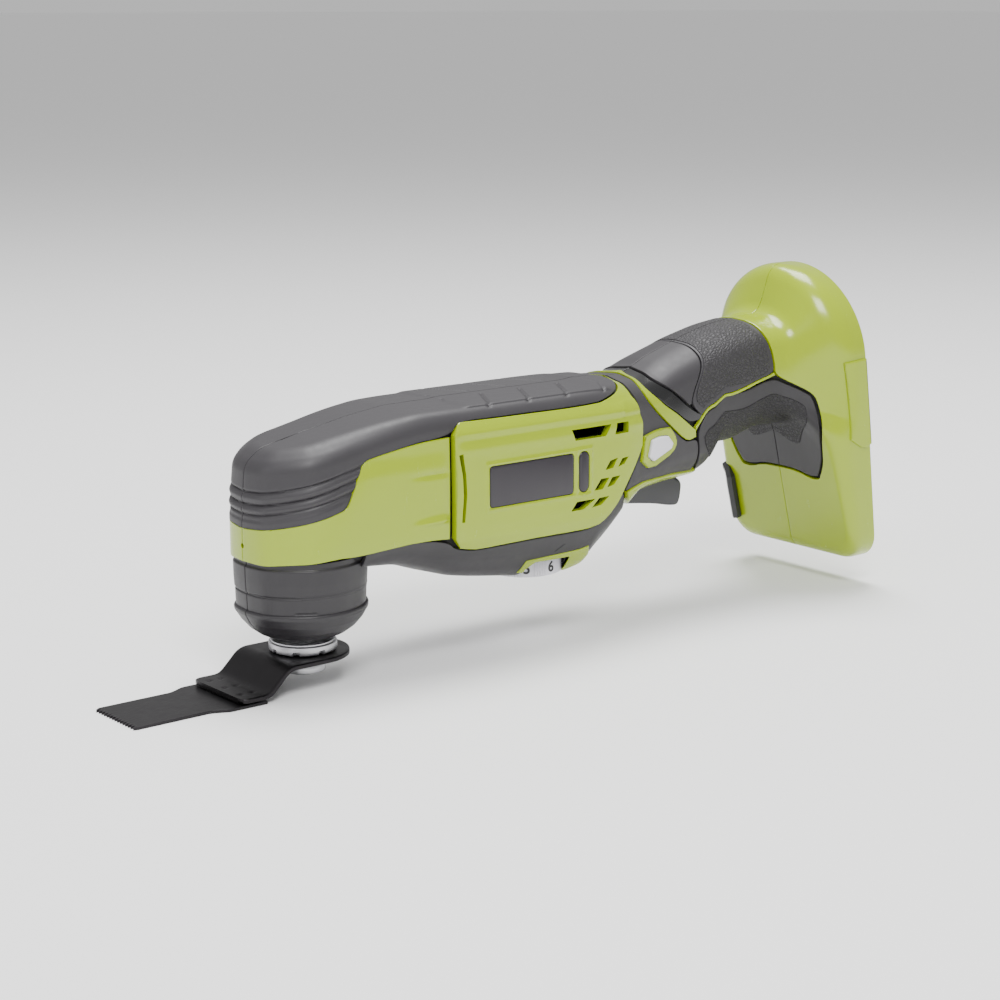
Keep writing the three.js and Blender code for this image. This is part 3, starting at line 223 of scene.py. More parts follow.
def corner_cut(points: Array, rounds: int) -> Array:
    """Rounds a curve's corners by cutting each at a quarter of its spans (Chaikin), ends kept.

    Args:
        points: (n, 2) curve.
        rounds: how many times to cut.

    Returns:
        The rounded curve.
    """
    for _ in range(rounds):
        a, b = points[:-1], points[1:]
        cuts = np.stack([0.75 * a + 0.25 * b, 0.25 * a + 0.75 * b], axis=1).reshape(-1, points.shape[1])
        points = np.vstack([points[:1], cuts[1:-1], points[-1:]])
    return points


# ---- meshes --------------------------------------------------------------------------------------------
@dataclass
class Layout:
    """Carries layout millimetres into the frame's metres."""

    spindle_x: float
    lift: float

    @classmethod
    def from_frame(cls) -> "Layout":
        """Reads the spindle axis and the blade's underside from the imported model."""
        low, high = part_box("arbor_flange")
        blade_low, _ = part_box("blade")
        return cls((low.x + high.x) / 2, 0.0278 + blade_low.z)

    def place(self, points: Array) -> Array:
        """Layout millimetres to frame metres."""
        return points * 0.001 + np.array([self.spindle_x, 0.0, self.lift])


@dataclass
class Skin:
    """Points and faces of one closed shape, in layout millimetres."""

    points: Array
    faces: list

    def mirrored(self) -> "Skin":
        """The same shape on the right side."""
        return Skin(self.points * np.array([1.0, -1.0, 1.0]), [f[::-1] for f in self.faces])

    def __add__(self, other: "Skin") -> "Skin":
        """Both shapes as one."""
        shift = len(self.points)
        moved = [tuple(i + shift for i in f) for f in other.faces]
        return Skin(np.vstack([self.points, other.points]), list(self.faces) + moved)


def grid_faces(rows: int, columns: int, start: int = 0, flip: bool = False, closed: bool = False) -> list:
    """Quads of a grid of points stored row by row.

    Args:
        rows: points along the first way.
        columns: points along the second way.
        start: index of the first point.
        flip: turns the faces over.
        closed: joins the last column to the first.

    Returns:
        Tuples of four indices.
    """
    i = np.arange(rows - 1)[:, None]
    j = np.arange(columns if closed else columns - 1)[None, :]
    k = (j + 1) % columns
    quad = np.stack(
        [i * columns + j, (i + 1) * columns + j, (i + 1) * columns + k, i * columns + k], axis=-1
    ).reshape(-1, 4) + start
    if flip:
        quad = quad[:, ::-1]
    return [tuple(q) for q in quad.tolist()]


def tube(rings: Array, capped: bool = True) -> Skin:
    """A closed shape through closed rings of points.

    Args:
        rings: (rings, points, 3); each ring is a loop.
        capped: closes both ends with one face each.

    Returns:
        The shape.
    """
    count, around = rings.shape[:2]
    faces = grid_faces(count, around, closed=True)
    if capped:
        faces.append(tuple(range(around))[::-1])
        faces.append(tuple(range((count - 1) * around, count * around)))
    return Skin(rings.reshape(-1, 3), [tuple(f) for f in faces])


def turned(profile: Sequence[Point], centre: Point = (0.0, 0.0), around: int = 96,
           shape: Optional[Callable[[Array, Array, Array], Array]] = None) -> Skin:
    """A profile of (radius, height) carried round a vertical axis.

    Point = centre + radius (cos a, sin a), height; `shape` may change the radius by angle and height.

    Args:
        profile: from the lower end to the upper; the ends are closed.
        centre: the axis in plan.
        around: steps of the turn.
        shape: takes angle, radius and height arrays and returns the radius.

    Returns:
        The closed shape.
    """
    line = np.array(profile, float)
    angle = np.linspace(0.0, 2 * np.pi, around, endpoint=False)[None, :]
    radius = np.repeat(line[:, :1], around, axis=1)
    height = np.repeat(line[:, 1:2], around, axis=1)
    if shape is not None:
        radius = shape(np.repeat(angle, len(line), axis=0), radius, height)
    rings = np.stack(
        [centre[0] + radius * np.cos(angle), centre[1] + radius * np.sin(angle), height], axis=-1
    )
    return tube(rings[:, ::-1])


def slab(outline: Array, low: Point, bevel: float = 0.0, steps: int = 3) -> Skin:
    """A flat outline given thickness, its rims rounded.

    The rim is a quarter round: at angle q the outline is drawn in by bevel (1 - cos q) towards its middle
    line and stands bevel (1 - sin q) inside the face.

    Args:
        outline: (n, 2) loop, counter-clockwise in its own plane.
        low: (lower level, upper level) across the plane.
        bevel: rim radius.
        steps: spans of each rim.

    Returns:
        The shape with the third coordinate across the outline.
    """
    level0, level1 = low
    nxt, prev = np.roll(outline, -1, axis=0), np.roll(outline, 1, axis=0)
    a = outline - prev
    b = nxt - outline
    na = np.stack([a[:, 1], -a[:, 0]], axis=1) / np.maximum(np.linalg.norm(a, axis=1), 1e-9)[:, None]
    nb = np.stack([b[:, 1], -b[:, 0]], axis=1) / np.maximum(np.linalg.norm(b, axis=1), 1e-9)[:, None]
    mitre = (na + nb) / np.maximum(1.0 + (na * nb).sum(1), 0.35)[:, None]
    q = np.linspace(0.0, np.pi / 2, steps + 1) if bevel > 0 else np.array([np.pi / 2])
    draw = bevel * (1 - np.sin(q))
    rise = bevel * (1 - np.cos(q))
    rings = [np.column_stack([outline - mitre * d, np.full(len(outline), level0 + r)]) for d,
             r in zip(draw, rise)]
    rings += [
        np.column_stack([outline - mitre * d, np.full(len(outline), level1 - r)])
        for d, r in zip(draw[::-1], rise[::-1])
    ]
    return tube(np.array(rings))


def turned_to(skin: Skin, order: Sequence[int], signs: Point = (1, 1, 1)) -> Skin:
    """The shape with its coordinates dealt out in another order, such as a slab stood on edge.

    Args:
        skin: the shape.
        order: which old coordinate each new one takes.
        signs: 1 or -1 for each new coordinate.

    Returns:
        The shape, still with its faces outward.
    """
    even = np.linalg.det(np.eye(3)[list(order)] * np.array(signs)[:, None]) > 0
    faces = skin.faces if even else [f[::-1] for f in skin.faces]
    return Skin(skin.points[:, list(order)] * np.array(signs, float), faces)


# ---- finishes -----------------------------------------------------------------------------------------
class Wire:
    """A node's output that can be reckoned with, like a number."""

    def __init__(self, tree: "Tree", socket: bpy.types.NodeSocket) -> None:
        """Keeps the socket and its tree."""
        self.tree = tree
        self.socket = socket

    def math(self, operation: str, *others: Union["Wire", float], clamp: bool = False) -> "Wire":
        """One Math node with this wire first.

        Args:
            operation: the Math node's operation.
            others: its other inputs.
            clamp: keeps the result from 0 to 1.

        Returns:
            The node's output.
        """
        return self.tree.math(operation, self, *others, clamp=clamp)

    def __add__(self, other: Union["Wire", float]) -> "Wire":
        """Sum."""
        return self.math("ADD", other)

    __radd__ = __add__

    def __sub__(self, other: Union["Wire", float]) -> "Wire":
        """Difference."""
        return self.math("SUBTRACT", other)

    def __rsub__(self, other: Union["Wire", float]) -> "Wire":
        """Difference, this wire second."""
        return self.tree.math("SUBTRACT", other, self)

    def __mul__(self, other: Union["Wire", float]) -> "Wire":
        """Product."""
        return self.math("MULTIPLY", other)

    __rmul__ = __mul__

    def __truediv__(self, other: Union["Wire", float]) -> "Wire":
        """Quotient."""
        return self.math("DIVIDE", other)

    def __rtruediv__(self, other: Union["Wire", float]) -> "Wire":
        """Quotient, this wire second."""
        return self.tree.math("DIVIDE", other, self)


class Tree:
    """One material's nodes."""

    def __init__(self, name: str) -> None:
        """Starts a material with its Principled shader.

        Args:
            name: the material's name.
        """
        self.material = bpy.data.materials.new(name)
        self.material.use_nodes = True
        self.nodes = self.material.node_tree.nodes
        self.links = self.material.node_tree.links
        self.shader = self.nodes["Principled BSDF"]
        self.coordinates = self.node("ShaderNodeTexCoord", "Object")

    def node(self, kind: str, output: Union[str, int], settings: Optional[dict] = None,
             **inputs: object) -> Wire:
        """Any node at all.

        Args:
            kind: Blender's name for the node.
            output: which of its outputs to take.
            settings: its own properties.
            inputs: values or wires by input name, with _ for a space.

        Returns:
            The output.
        """
        made = self.nodes.new(kind)
        for key, value in (settings or {}).items():
            setattr(made, key, value)
        for key, value in inputs.items():
            self.feed(made.inputs[key.replace("_", " ")], value)
        return Wire(self, made.outputs[output])

    def feed(self, socket: bpy.types.NodeSocket, value: object) -> None:
        """Links a wire to a socket, or sets it.

        Args:
            socket: what to feed.
            value: a wire, number, vector or colour.
        """
        if isinstance(value, Wire):
            self.links.new(value.socket, socket)
        else:
            socket.default_value = value

    def math(self, operation: str, *values: Union[Wire, float], clamp: bool = False) -> Wire:
        """One Math node.

        Args:
            operation: its operation.
            values: its inputs in order.
            clamp: keeps the result from 0 to 1.

        Returns:
            Its output.
        """
        made = self.nodes.new("ShaderNodeMath")
        made.operation = operation
        made.use_clamp = clamp
        for socket, value in zip(made.inputs, values):
            self.feed(socket, value)
        return Wire(self, made.outputs[0])

    def mix(self, factor: Union[Wire, float], first: object, second: object) -> Wire:
        """Two colours mixed.

        Args:
            factor: share of the second.
            first: a colour or wire.
            second: a colour or wire.

        Returns:
            The mixed colour.
        """
        made = self.nodes.new("ShaderNodeMix")
        made.data_type = "RGBA"
        for socket, value in zip((made.inputs[0], made.inputs[6], made.inputs[7]), (factor, first, second)):
            self.feed(socket, value)
        return Wire(self, made.outputs[2])

    def noise(self, size: float, detail: float = 2.0, stretch: Point = (1.0, 1.0, 1.0)) -> Wire:
        """Cloudy noise whose grain is about `size` millimetres.

        Args:
            size: grain in millimetres.
            detail: octaves.
            stretch: how many times longer the grain is along each axis.

        Returns:
            A wire from 0 to 1.
        """
        spread = tuple(1000.0 / (size * s) for s in stretch)
        scaled = self.node("ShaderNodeVectorMath", 0, {"operation": "MULTIPLY"})
        maker = scaled.socket.node
        self.feed(maker.inputs[0], self.coordinates)
        maker.inputs[1].default_value = spread
        return self.node("ShaderNodeTexNoise", "Fac", Vector=scaled, Scale=1.0, Detail=detail)

    def finish(self, colour: object, roughness: object, height: Optional[Wire] = None, depth: float = 0.0,
               **constants: float) -> bpy.types.Material:
        """Sets the shader.

        Args:
            colour: base colour.
            roughness: roughness.
            height: relief from 0 to 1, if any.
            depth: the relief's depth in millimetres.
            constants: numbers that are the same all over, by socket name with _ for a space.

        Returns:
            The material.
        """
        self.feed(self.shader.inputs["Base Color"], colour)
        self.feed(self.shader.inputs["Roughness"], roughness)
        for key, value in constants.items():
            self.shader.inputs[key.replace("_", " ")].default_value = value
        if height is not None:
            normal = self.node("ShaderNodeBump", "Normal", Height=height, Strength=1.0,
                               Distance=depth * 0.001)
            self.feed(self.shader.inputs["Normal"], normal)
        return self.material


def linear(red: int, green: int, blue: int) -> tuple:
    """A screen colour (0 to 255) as linear light: ((c + 0.055) / 1.055) to the power 2.4."""
    share = [c / 255 for c in (red, green, blue)]
    return tuple(((c + 0.055) / 1.055) ** 2.4 if c > 0.04045 else c / 12.92 for c in share) + (1.0,)


@dataclass(frozen=True)
class MouldedPlastic:
    """Hard or soft moulded plastic: spark-eroded grain, slightly uneven gloss and a faint mottle."""

    name: str
    colour: tuple
    roughness: float = 0.35
    grain: float = 0.5
    depth: float = 0.012
    mottle: float = 0.05
    coat: float = 0.0
    specular: float = 0.5

    def material(self) -> bpy.types.Material:
        """The material."""
        tree = Tree(self.name)
        cloud = tree.noise(14.0, 3.0)
        fine = tree.noise(self.grain, 3.0)
        scuff = tree.noise(3.2, 4.0, (1.0, 1.0, 3.0))
        dark = tuple(c * (1 - 2 * self.mottle) for c in self.colour[:3]) + (1.0,)
        light = tuple(min(1.0, c * (1 + self.mottle)) for c in self.colour[:3]) + (1.0,)
        colour = tree.mix(cloud * 0.7 + fine * 0.3, dark, light)
        worn = scuff.math("SUBTRACT", 0.5) * 0.14 + (fine - 0.5) * 0.08 + self.roughness
        return tree.finish(colour, worn, fine, self.depth, Coat_Weight=self.coat, Coat_Roughness=0.12,
                           Specular_IOR_Level=self.specular)


@dataclass(frozen=True)
class PebbledRubber:
    """Soft rubber with a pebbled, leather-like grain of rounded islands, with painted shade darkening the
    crevices between them.
    """

    name: str
    colour: tuple
    pebble: float = 1.35
    depth: float = 0.26

    def material(self) -> bpy.types.Material:
        """The material."""
        tree = Tree(self.name)
        bend = tree.noise(2.2, 2.0)
        stretched = tree.node("ShaderNodeVectorMath", 0, {"operation": "MULTIPLY"})
        maker = stretched.socket.node
        tree.feed(maker.inputs[0], tree.coordinates)
        spread = 1000.0 / self.pebble
        maker.inputs[1].default_value = (spread * 0.8, spread, spread)
        moved = tree.node("ShaderNodeVectorMath", 0, {"operation": "ADD"})
        mover = moved.socket.node
        tree.feed(mover.inputs[0], stretched)
        tree.feed(mover.inputs[1], bend * 1.1)
        cell = tree.node("ShaderNodeTexVoronoi", "Distance", {"feature": "DISTANCE_TO_EDGE"}, Vector=moved,
                         Scale=1.0)
        island = cell.math("MULTIPLY", 3.2).math("MINIMUM", 1.0).math("POWER", 0.6)
        fine = tree.noise(0.35, 3.0)
        height = island * 0.85 + fine * 0.15
        # painted shade: the crevices between the pebbles are darkened to 0.55 of the colour
        dark = tuple(c * 0.55 for c in self.colour[:3]) + (1.0,)
        colour = tree.mix(island, dark, self.colour)
        return tree.finish(colour, 0.62 - island * 0.14 + fine * 0.08, height, self.depth)


@dataclass(frozen=True)
class Metal:
    """Turned, stamped or cast metal with lay lines, cloudy oxide and uneven gloss."""

    name: str
    colour: tuple
    roughness: float = 0.3
    lay: tuple = (1.0, 1.0, 0.15)
    grain: float = 0.6
    depth: float = 0.01
    cloud: float = 0.2

    def material(self) -> bpy.types.Material:
        """The material."""
        tree = Tree(self.name)
        lines = tree.noise(self.grain, 3.0, self.lay)
        cloud = tree.noise(6.0, 4.0)
        dark = tuple(c * (1 - self.cloud) for c in self.colour[:3]) + (1.0,)
        colour = tree.mix(cloud, dark, self.colour)
        return tree.finish(colour, (lines - 0.5) * 0.22 + (cloud - 0.5) * 0.16 + self.roughness, lines,
                           self.depth, Metallic=1.0)


class Finish(Enum):
    """Every finish on the tool: its slot in the record and how it is made."""

    GREEN = ("green_shell", MouldedPlastic("lime_plastic", linear(150, 171, 0), 0.24, 0.5, 0.006, 0.02, 0.25))
    SOFT = ("soft_grip", MouldedPlastic("soft_grey_rubber", linear(50, 48, 51), 0.5, 0.32, 0.03, 0.05))
    DARK = ("dark_grip", MouldedPlastic("dark_grey_rubber", linear(38, 36, 39), 0.45, 0.32, 0.03, 0.05))
    GLOSS = ("dark_grip", MouldedPlastic("polished_dark_plastic", linear(12, 12, 13), 0.2, 0.6, 0.008, 0.03,
                                         0.3))
    PEBBLED = ("soft_grip", PebbledRubber("pebbled_rubber", linear(48, 46, 49)))
    PEBBLED_DARK = ("dark_grip", PebbledRubber("pebbled_dark_rubber", linear(36, 34, 37)))
    PLATE = ("plate", MouldedPlastic("badge_plastic", linear(32, 27, 34), 0.34, 0.7, 0.01, 0.04, 0.1))
    BLACK = ("black_plastic", MouldedPlastic("black_plastic", linear(14, 14, 18), 0.4, 0.4, 0.02, 0.06))
    # painted shade: a near-black sheet under the panels and inside the boot, so gaps, vents and openings read
    # as shadow; the real clamshell beneath is green
    HOLLOW = ("black_plastic", MouldedPlastic("painted_shade_shell", linear(8, 8, 8), 0.7, 0.5, 0.01, 0.05))
    PALE = ("pale_plastic", MouldedPlastic("pale_plastic", linear(165, 164, 172), 0.4, 0.4, 0.01, 0.03))
    BRIGHT = ("bright_steel", Metal("bright_steel", linear(120, 120, 124), 0.22))
    BLADE = ("blade_steel", Metal("blackened_steel", linear(56, 54, 56), 0.4, (4.0, 0.4, 1.0), 0.7, 0.012,
                                  0.3))
    CAST = ("cast_alloy", Metal("cast_alloy", linear(165, 166, 170), 0.48, (1, 1, 1), 0.8, 0.05, 0.25))
    BRASS = ("brass", Metal("brass", linear(200, 162, 92), 0.3))
    COPPER = ("copper", Metal("commutator_copper", linear(190, 112, 70), 0.3))
    WINDING = ("winding", Metal("enamelled_winding", linear(168, 84, 44), 0.34, (3.0, 0.3, 0.3), 0.5, 0.08,
                                0.3))
    MAGNET = ("magnet", MouldedPlastic("ferrite", linear(52, 52, 55), 0.55, 0.5, 0.04, 0.08))
    CARBON = ("carbon", MouldedPlastic("carbon", linear(40, 40, 42), 0.6, 0.3, 0.05, 0.1))
    BOARD = ("circuit_board", MouldedPlastic("circuit_board", linear(34, 92, 60), 0.35, 0.8, 0.01, 0.08))
    INK = ("black_plastic", MouldedPlastic("ink", linear(24, 24, 26), 0.5, 0.4, 0.005, 0.05))

    @property
    def slot(self) -> str:
        """The record's slot."""
        return self.value[0]

    def material(self) -> bpy.types.Material:
        """The material, made once."""
        maker = self.value[1]
        return bpy.data.materials.get(maker.name) or maker.material()


# ---- making pieces -------------------------------------------------------------------------------------
@dataclass
class Workshop:
    """Turns shapes into dressed pieces that ride on the frame."""

    layout: Layout
    nodes: dict
    crease: float = 42.0  # degrees; a sharper edge between faces stays crisp
    made: int = 0

    def piece(self, name: str, skin: Skin, body: str, finish: Finish, replaces: Sequence[str] = (),
              cutters: Sequence[Skin] = (), bevel: float = 0.0) -> bpy.types.Object:
        """One finished piece.

        Args:
            name: the piece's name.
            skin: its closed shape.
            body: the frame body that it rides on.
            finish: its finish.
            replaces: frame nodes that it stands for.
            cutters: closed shapes taken out of it.
            bevel: width of a bevel on its crisp edges, in millimetres.

        Returns:
            The object.
        """
        thing = self.raw(name, skin)
        if cutters:
            self.cut(thing, cutters)
        if bevel:
            self.soften(thing, bevel)
        mesh = thing.data
        mesh.polygons.foreach_set("use_smooth", np.ones(len(mesh.polygons), bool))
        mesh.set_sharp_from_angle(angle=math.radians(self.crease))
        mesh.materials.append(finish.material())
        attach(thing, body)
        if replaces:
            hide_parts(*replaces)
        self.made += 1
        log.info("%-26s %-10s %7d faces  %s", name, body, len(mesh.polygons), finish.name.lower())
        return thing

    def raw(self, name: str, skin: Skin) -> bpy.types.Object:
        """A bare object, its doubled points merged and its faces outward.

        Args:
            name: the object's name.
            skin: the shape.

        Returns:
            The object.
        """
        mesh = bpy.data.meshes.new(name)
        mesh.from_pydata(self.layout.place(skin.points), [], skin.faces)
        work = bmesh.new()
        work.from_mesh(mesh)
        bmesh.ops.remove_doubles(work, verts=work.verts, dist=4e-6)
        bmesh.ops.dissolve_degenerate(work, edges=work.edges, dist=2e-6)
        bmesh.ops.recalc_face_normals(work, faces=work.faces)
        work.to_mesh(mesh)
        work.free()
        thing = bpy.data.objects.new(name, mesh)
        bpy.context.scene.collection.objects.link(thing)
        return thing

    def apply(self, thing: bpy.types.Object) -> None:
        """Makes a thing's modifiers part of its mesh."""
        bpy.context.view_layer.update()
        graph = bpy.context.evaluated_depsgraph_get()
        mesh = bpy.data.meshes.new_from_object(thing.evaluated_get(graph))
        thing.modifiers.clear()
        thing.data = mesh

    def cut(self, thing: bpy.types.Object, cutters: Sequence[Skin]) -> None:
        """Takes closed shapes out of a thing.

        Args:
            thing: what is cut.
            cutters: the shapes, taken out one after another.
        """
        for cutter in cutters:
            tool = self.raw("cutter", cutter)
            change = thing.modifiers.new("cut", "BOOLEAN")
            change.operation, change.solver, change.object = "DIFFERENCE", "EXACT", tool
            self.apply(thing)
            bpy.data.objects.remove(tool)

    def soften(self, thing: bpy.types.Object, width: float) -> None:
        """Bevels a thing's crisp edges.

        Args:
            thing: what is bevelled.
            width: the bevel's width in millimetres.
        """
        change = thing.modifiers.new("bevel", "BEVEL")
        change.width, change.segments, change.limit_method = width * 0.001, 2, "ANGLE"
        change.angle_limit = math.radians(38)
        self.apply(thing)

    def dress(self, node: str, finish: Finish) -> None:
        """Gives a frame node its material.

        Args:
            node: the node's name.
            finish: its finish.
        """
        thing = self.nodes[node]
        if not thing.data.materials:
            thing.data.materials.append(finish.material())
        for slot in thing.material_slots:
            slot.material = finish.material()
        log.info("%-26s frame node %14s", node, finish.name.lower())


# ---- the outer form -------------------------------------------------------------------------------------
@dataclass
class Form:
    """The outer form of head, body, handle and foot, as a table of points over (s, v).

    v runs from the top seam (0) round the left side to the bottom seam (1). s names the section. From -40
    to 0 it is a half plane that turns about the spindle axis from the nose to the side. From 0 to 228 it is
    the plane X = s. From 228 to 288 it follows each line of the handle out over the foot to its rear rim.
    """

    nose_radius: float = 25.3
    head_span: float = 40.0
    handle_end: float = 228.0
    foot_span: float = 60.0
    seam_slope: float = 0.183  # rise of the head's top towards the rear
    rear_x: float = 267.5
    rear_tilt: float = math.radians(7)
    arch_z: float = 75.0
    foot_half: float = 38.0
    foot_bottom: float = -15.9
    face_x: float = 251.2  # the foot's front face at Z = 41
    face_lean: float = 14.6 / 56.8
    ray_z: float = 66.0  # height of the middle that the foot's rays leave from
    points: Array = field(init=False)
    normals: Array = field(init=False)
    stations: Array = field(init=False)

    def __post_init__(self) -> None:
        """Fills the table."""
        head = np.linspace(-self.head_span, 0.0, 61)
        body = np.arange(1.0, self.handle_end + 0.5, 1.0)
        foot = self.handle_end + np.linspace(0.0, self.foot_span, 121)[1:]
        straight = self.sections(np.concatenate([[0.0], body]))
        turned_head = self.head_sections(head)
        along = np.concatenate([turned_head[:-1], straight])
        self.points = np.concatenate([along, self.foot_sections(straight[-1], foot)])
        self.stations = np.concatenate([head[:-1], [0.0], body, foot])
        self.points[..., 1] = np.minimum(self.points[..., 1], 0.0)
        self.normals = self.outward()

    def controls(self, x: Array) -> tuple:
        """Corner points and corner reaches of the plane sections.

        The corners: top seam, plateau edge, bevel foot, side, side foot, belly corner, bottom seam.

        Args:
            x: section positions.

        Returns:
            ((n, 7, 2) of (half width, height), (n, 5) of reaches).
        """
        rows = np.array([
            # x     top   y1    z1    y2    z2    y3    z3    y4    z4    y5    z5    bottom
            [0, 67.7, 17.5, 67.2, 24.0, 62.6, 25.3, 44, 25.3, 23.4, 24, 20.5, 20],
            [6, 68.8, 18.0, 68.3, 24.0, 63.8, 25.3, 44, 25.3, 23, 23.5, 19.5, 19],
            [22, 71.7, 20.0, 71.1, 24.5, 66.7, 25.4, 45, 25.4, 22.5, 19, 16.8, 16.5],
            [31, 72.9, 21.0, 72.3, 24.9, 67.9, 25.6, 45, 25.6, 22.2, 17.5, 15.4, 15],
            [41, 73.9, 21.8, 73.2, 25.2, 68.8, 25.9, 46, 25.8, 21.5, 16, 12.5, 11.5],
            [54, 74, 22.5, 73.4, 25.9, 69, 26.4, 46, 26.2, 19, 14, 8.2, 7],
            [64, 74, 22.7, 73.4, 26.2, 69, 26.6, 46, 26.6, 17.6, 13, 5, 4.2],
            [88, 74, 22.7, 73.4, 26.2, 69, 26.6, 46, 26.6, 16.4, 13.5, 1.2, 0.2],
            [115, 74, 22.7, 73.4, 26.2, 69, 26.6, 46, 26.6, 16, 14, -2, -3],
            [125, 74, 22.4, 73.4, 26.1, 69, 26.6, 46, 26.6, 17, 14, -0.6, -1.6],
            [131, 74, 21.8, 73.4, 25.9, 68.9, 26.5, 46, 26.4, 20, 14, 4.2, 3.4],
            [140, 74, 20.0, 73.3, 25.2, 68.5, 26.0, 47, 25.6, 25, 14, 12, 10.5],
            [147, 74, 17.6, 73.2, 24.0, 68, 25.0, 49, 24.4, 29, 14, 21, 20],
            [154, 74, 15.0, 73.3, 22.6, 67.6, 23.8, 51, 23.0, 32, 14.6, 27, 26.4],
            [165, 76, 12.5, 75.2, 21.0, 69.6, 22.6, 54, 21.8, 34.5, 15, 29, 28.2],
            [173, 79.4, 11.0, 78.4, 20.0, 73, 22.0, 57, 21.2, 36, 14.4, 29.6, 28.6],
            [189, 84.6, 10.0, 83.6, 19.5, 78, 21.6, 62, 20.6, 38, 13, 30, 28.8],
            [194, 86.1, 10.0, 85.1, 19.4, 79.6, 21.5, 63, 20.4, 39.4, 12.6, 31.6, 30.4],
            [197.5, 87, 9.8, 86, 19.3, 80.6, 21.5, 64, 20.2, 43, 12, 37, 35.6],
            [201, 87.9, 9.6, 86.9, 19.2, 81.4, 21.5, 65, 20.2, 48, 12, 41.6, 40.4],
            [211, 90, 9.5, 89.1, 19.2, 83.4, 21.5, 67, 20.2, 50, 12, 41.6, 40.0],
            [222, 91.3, 9.5, 90.5, 19.2, 84.9, 21.6, 69, 20.6, 53, 12, 44.2, 42.8],
            [228, 91.8, 9.5, 91.1, 19.3, 85.4, 21.8, 70, 20.8, 54.6, 12, 45.6, 44.4],
        ])
        reach = np.array([
            [0, 3.0, 3.4, 22, 6, 7], [54, 2.8, 3.4, 22, 7, 8], [130, 2.8, 3.4, 22, 8, 8],
            [147, 8, 9, 16, 9, 7],
            [165, 12, 12, 16, 9, 7], [189, 12, 12, 16, 9, 7], [228, 12, 12, 14, 9, 8],
        ])
        smooth = track(rows[:, 0], rows[:, 1:], x)
        corners = np.stack([
            np.column_stack([np.zeros(len(x)), smooth[:, 0]]),
            smooth[:, 1:3], smooth[:, 3:5], smooth[:, 5:7], smooth[:, 7:9], smooth[:, 9:11],
            np.column_stack([np.zeros(len(x)), smooth[:, 11]]),
        ], axis=1)
        return corners, track(reach[:, 0], reach[:, 1:], x)

    def rounded_rows(self, corners: Array, reach: Array) -> Array:
        """Corner points to rounded rows whose points are evenly spaced by length."""
        return evened(filleted(corners, reach, 12, (16, 8, 16, 24, 12, 16)), np.linspace(0.0, 1.0, 241))

    def sections(self, x: Array) -> Array:
        """Plane sections on the left side, Y = -half width.

        Args:
            x: where they are taken.

        Returns:
            (sections, v, 3).
        """
        corners, reach = self.controls(x)
        flat = self.rounded_rows(corners, reach)
        wide = np.repeat(x[:, None], flat.shape[1], axis=1)
        return np.stack([wide, -flat[..., 0], flat[..., 1]], axis=-1)

    def head_sections(self, s: Array) -> Array:
        """Half planes about the spindle axis.

        The section at X = 0 is turned to azimuth a; its radii grow by corner_growth, which gives the head its
        soft front corners, and its top falls with X.

        Args:
            s: from -40 at the nose to 0 at the side.

        Returns:
            The rows.
        """
        azimuth = (s / self.head_span + 1.0) * 90.0
        corners, reach = self.controls(np.zeros(len(s)))
        corner = 1.0 + corner_growth(azimuth)
        corners[:, 1:6, 0] *= corner[:, None]
        forward = np.cos(np.radians(azimuth))
        corners[:, 1, 1] -= self.seam_slope * corners[:, 1, 0] * forward
        corners[:, 2, 1] -= 3.6 * forward
        corners[:, 4:, 1] -= 1.2 * forward[:, None]
        flat = self.rounded_rows(corners, reach)
        angle = np.radians(azimuth)[:, None]
        return np.stack([-flat[..., 0] * np.cos(angle), -flat[..., 0] * np.sin(angle), flat[..., 1]], axis=-1)

    def rear_plane(self, z: Array) -> Array:
        """X of the foot's rear face at height z."""
        return self.rear_x + (self.arch_z - z) * math.tan(self.rear_tilt)

    def arch(self, angle: Array, inset: float = 0.0) -> Array:
        """Half width and height of the foot's outline on a ray from (0, 66), drawn in by an inset.

        The outline is a round arch over straight sides and a flat base with rounded corners; a ray from the
        middle meets the nearest of them.

        Args:
            angle: ray angles, pi / 2 straight up.
            inset: how far inside the outline.

        Returns:
            (n, 2) of (half width, height).
        """
        loop = self.outline(inset)
        bearing = np.arctan2(loop[:, 1] - self.ray_z, loop[:, 0])
        order = np.argsort(bearing)
        return np.column_stack([
            np.interp(angle, bearing[order], loop[order, 0]), np.interp(angle, bearing[order], loop[order, 1])
        ])

    def outline(self, inset: float = 0.0) -> Array:
        """The left half of the foot's outline from top to bottom: arch, side, rounded corner, base.

        Args:
            inset: how far inside the foot it runs.

        Returns:
            (n, 2) of (half width, height).
        """
        half, base, corner = self.foot_half - inset, self.foot_bottom + inset, 11.0 - 0.6 * inset
        a = np.linspace(np.pi / 2, 0.0, 40)
        c = np.linspace(0.0, -np.pi / 2, 16)
        return np.vstack([
            np.column_stack([half * np.cos(a), self.arch_z + half * np.sin(a)]),
            np.column_stack([np.full(40, half), np.linspace(self.arch_z, base + corner, 42)[1:-1]]),
            np.column_stack([half - corner + corner * np.cos(c), base + corner + corner * np.sin(c)]),
            np.column_stack([np.linspace(half - corner, 0.0, 14)[1:], np.full(13, base)]),
        ])

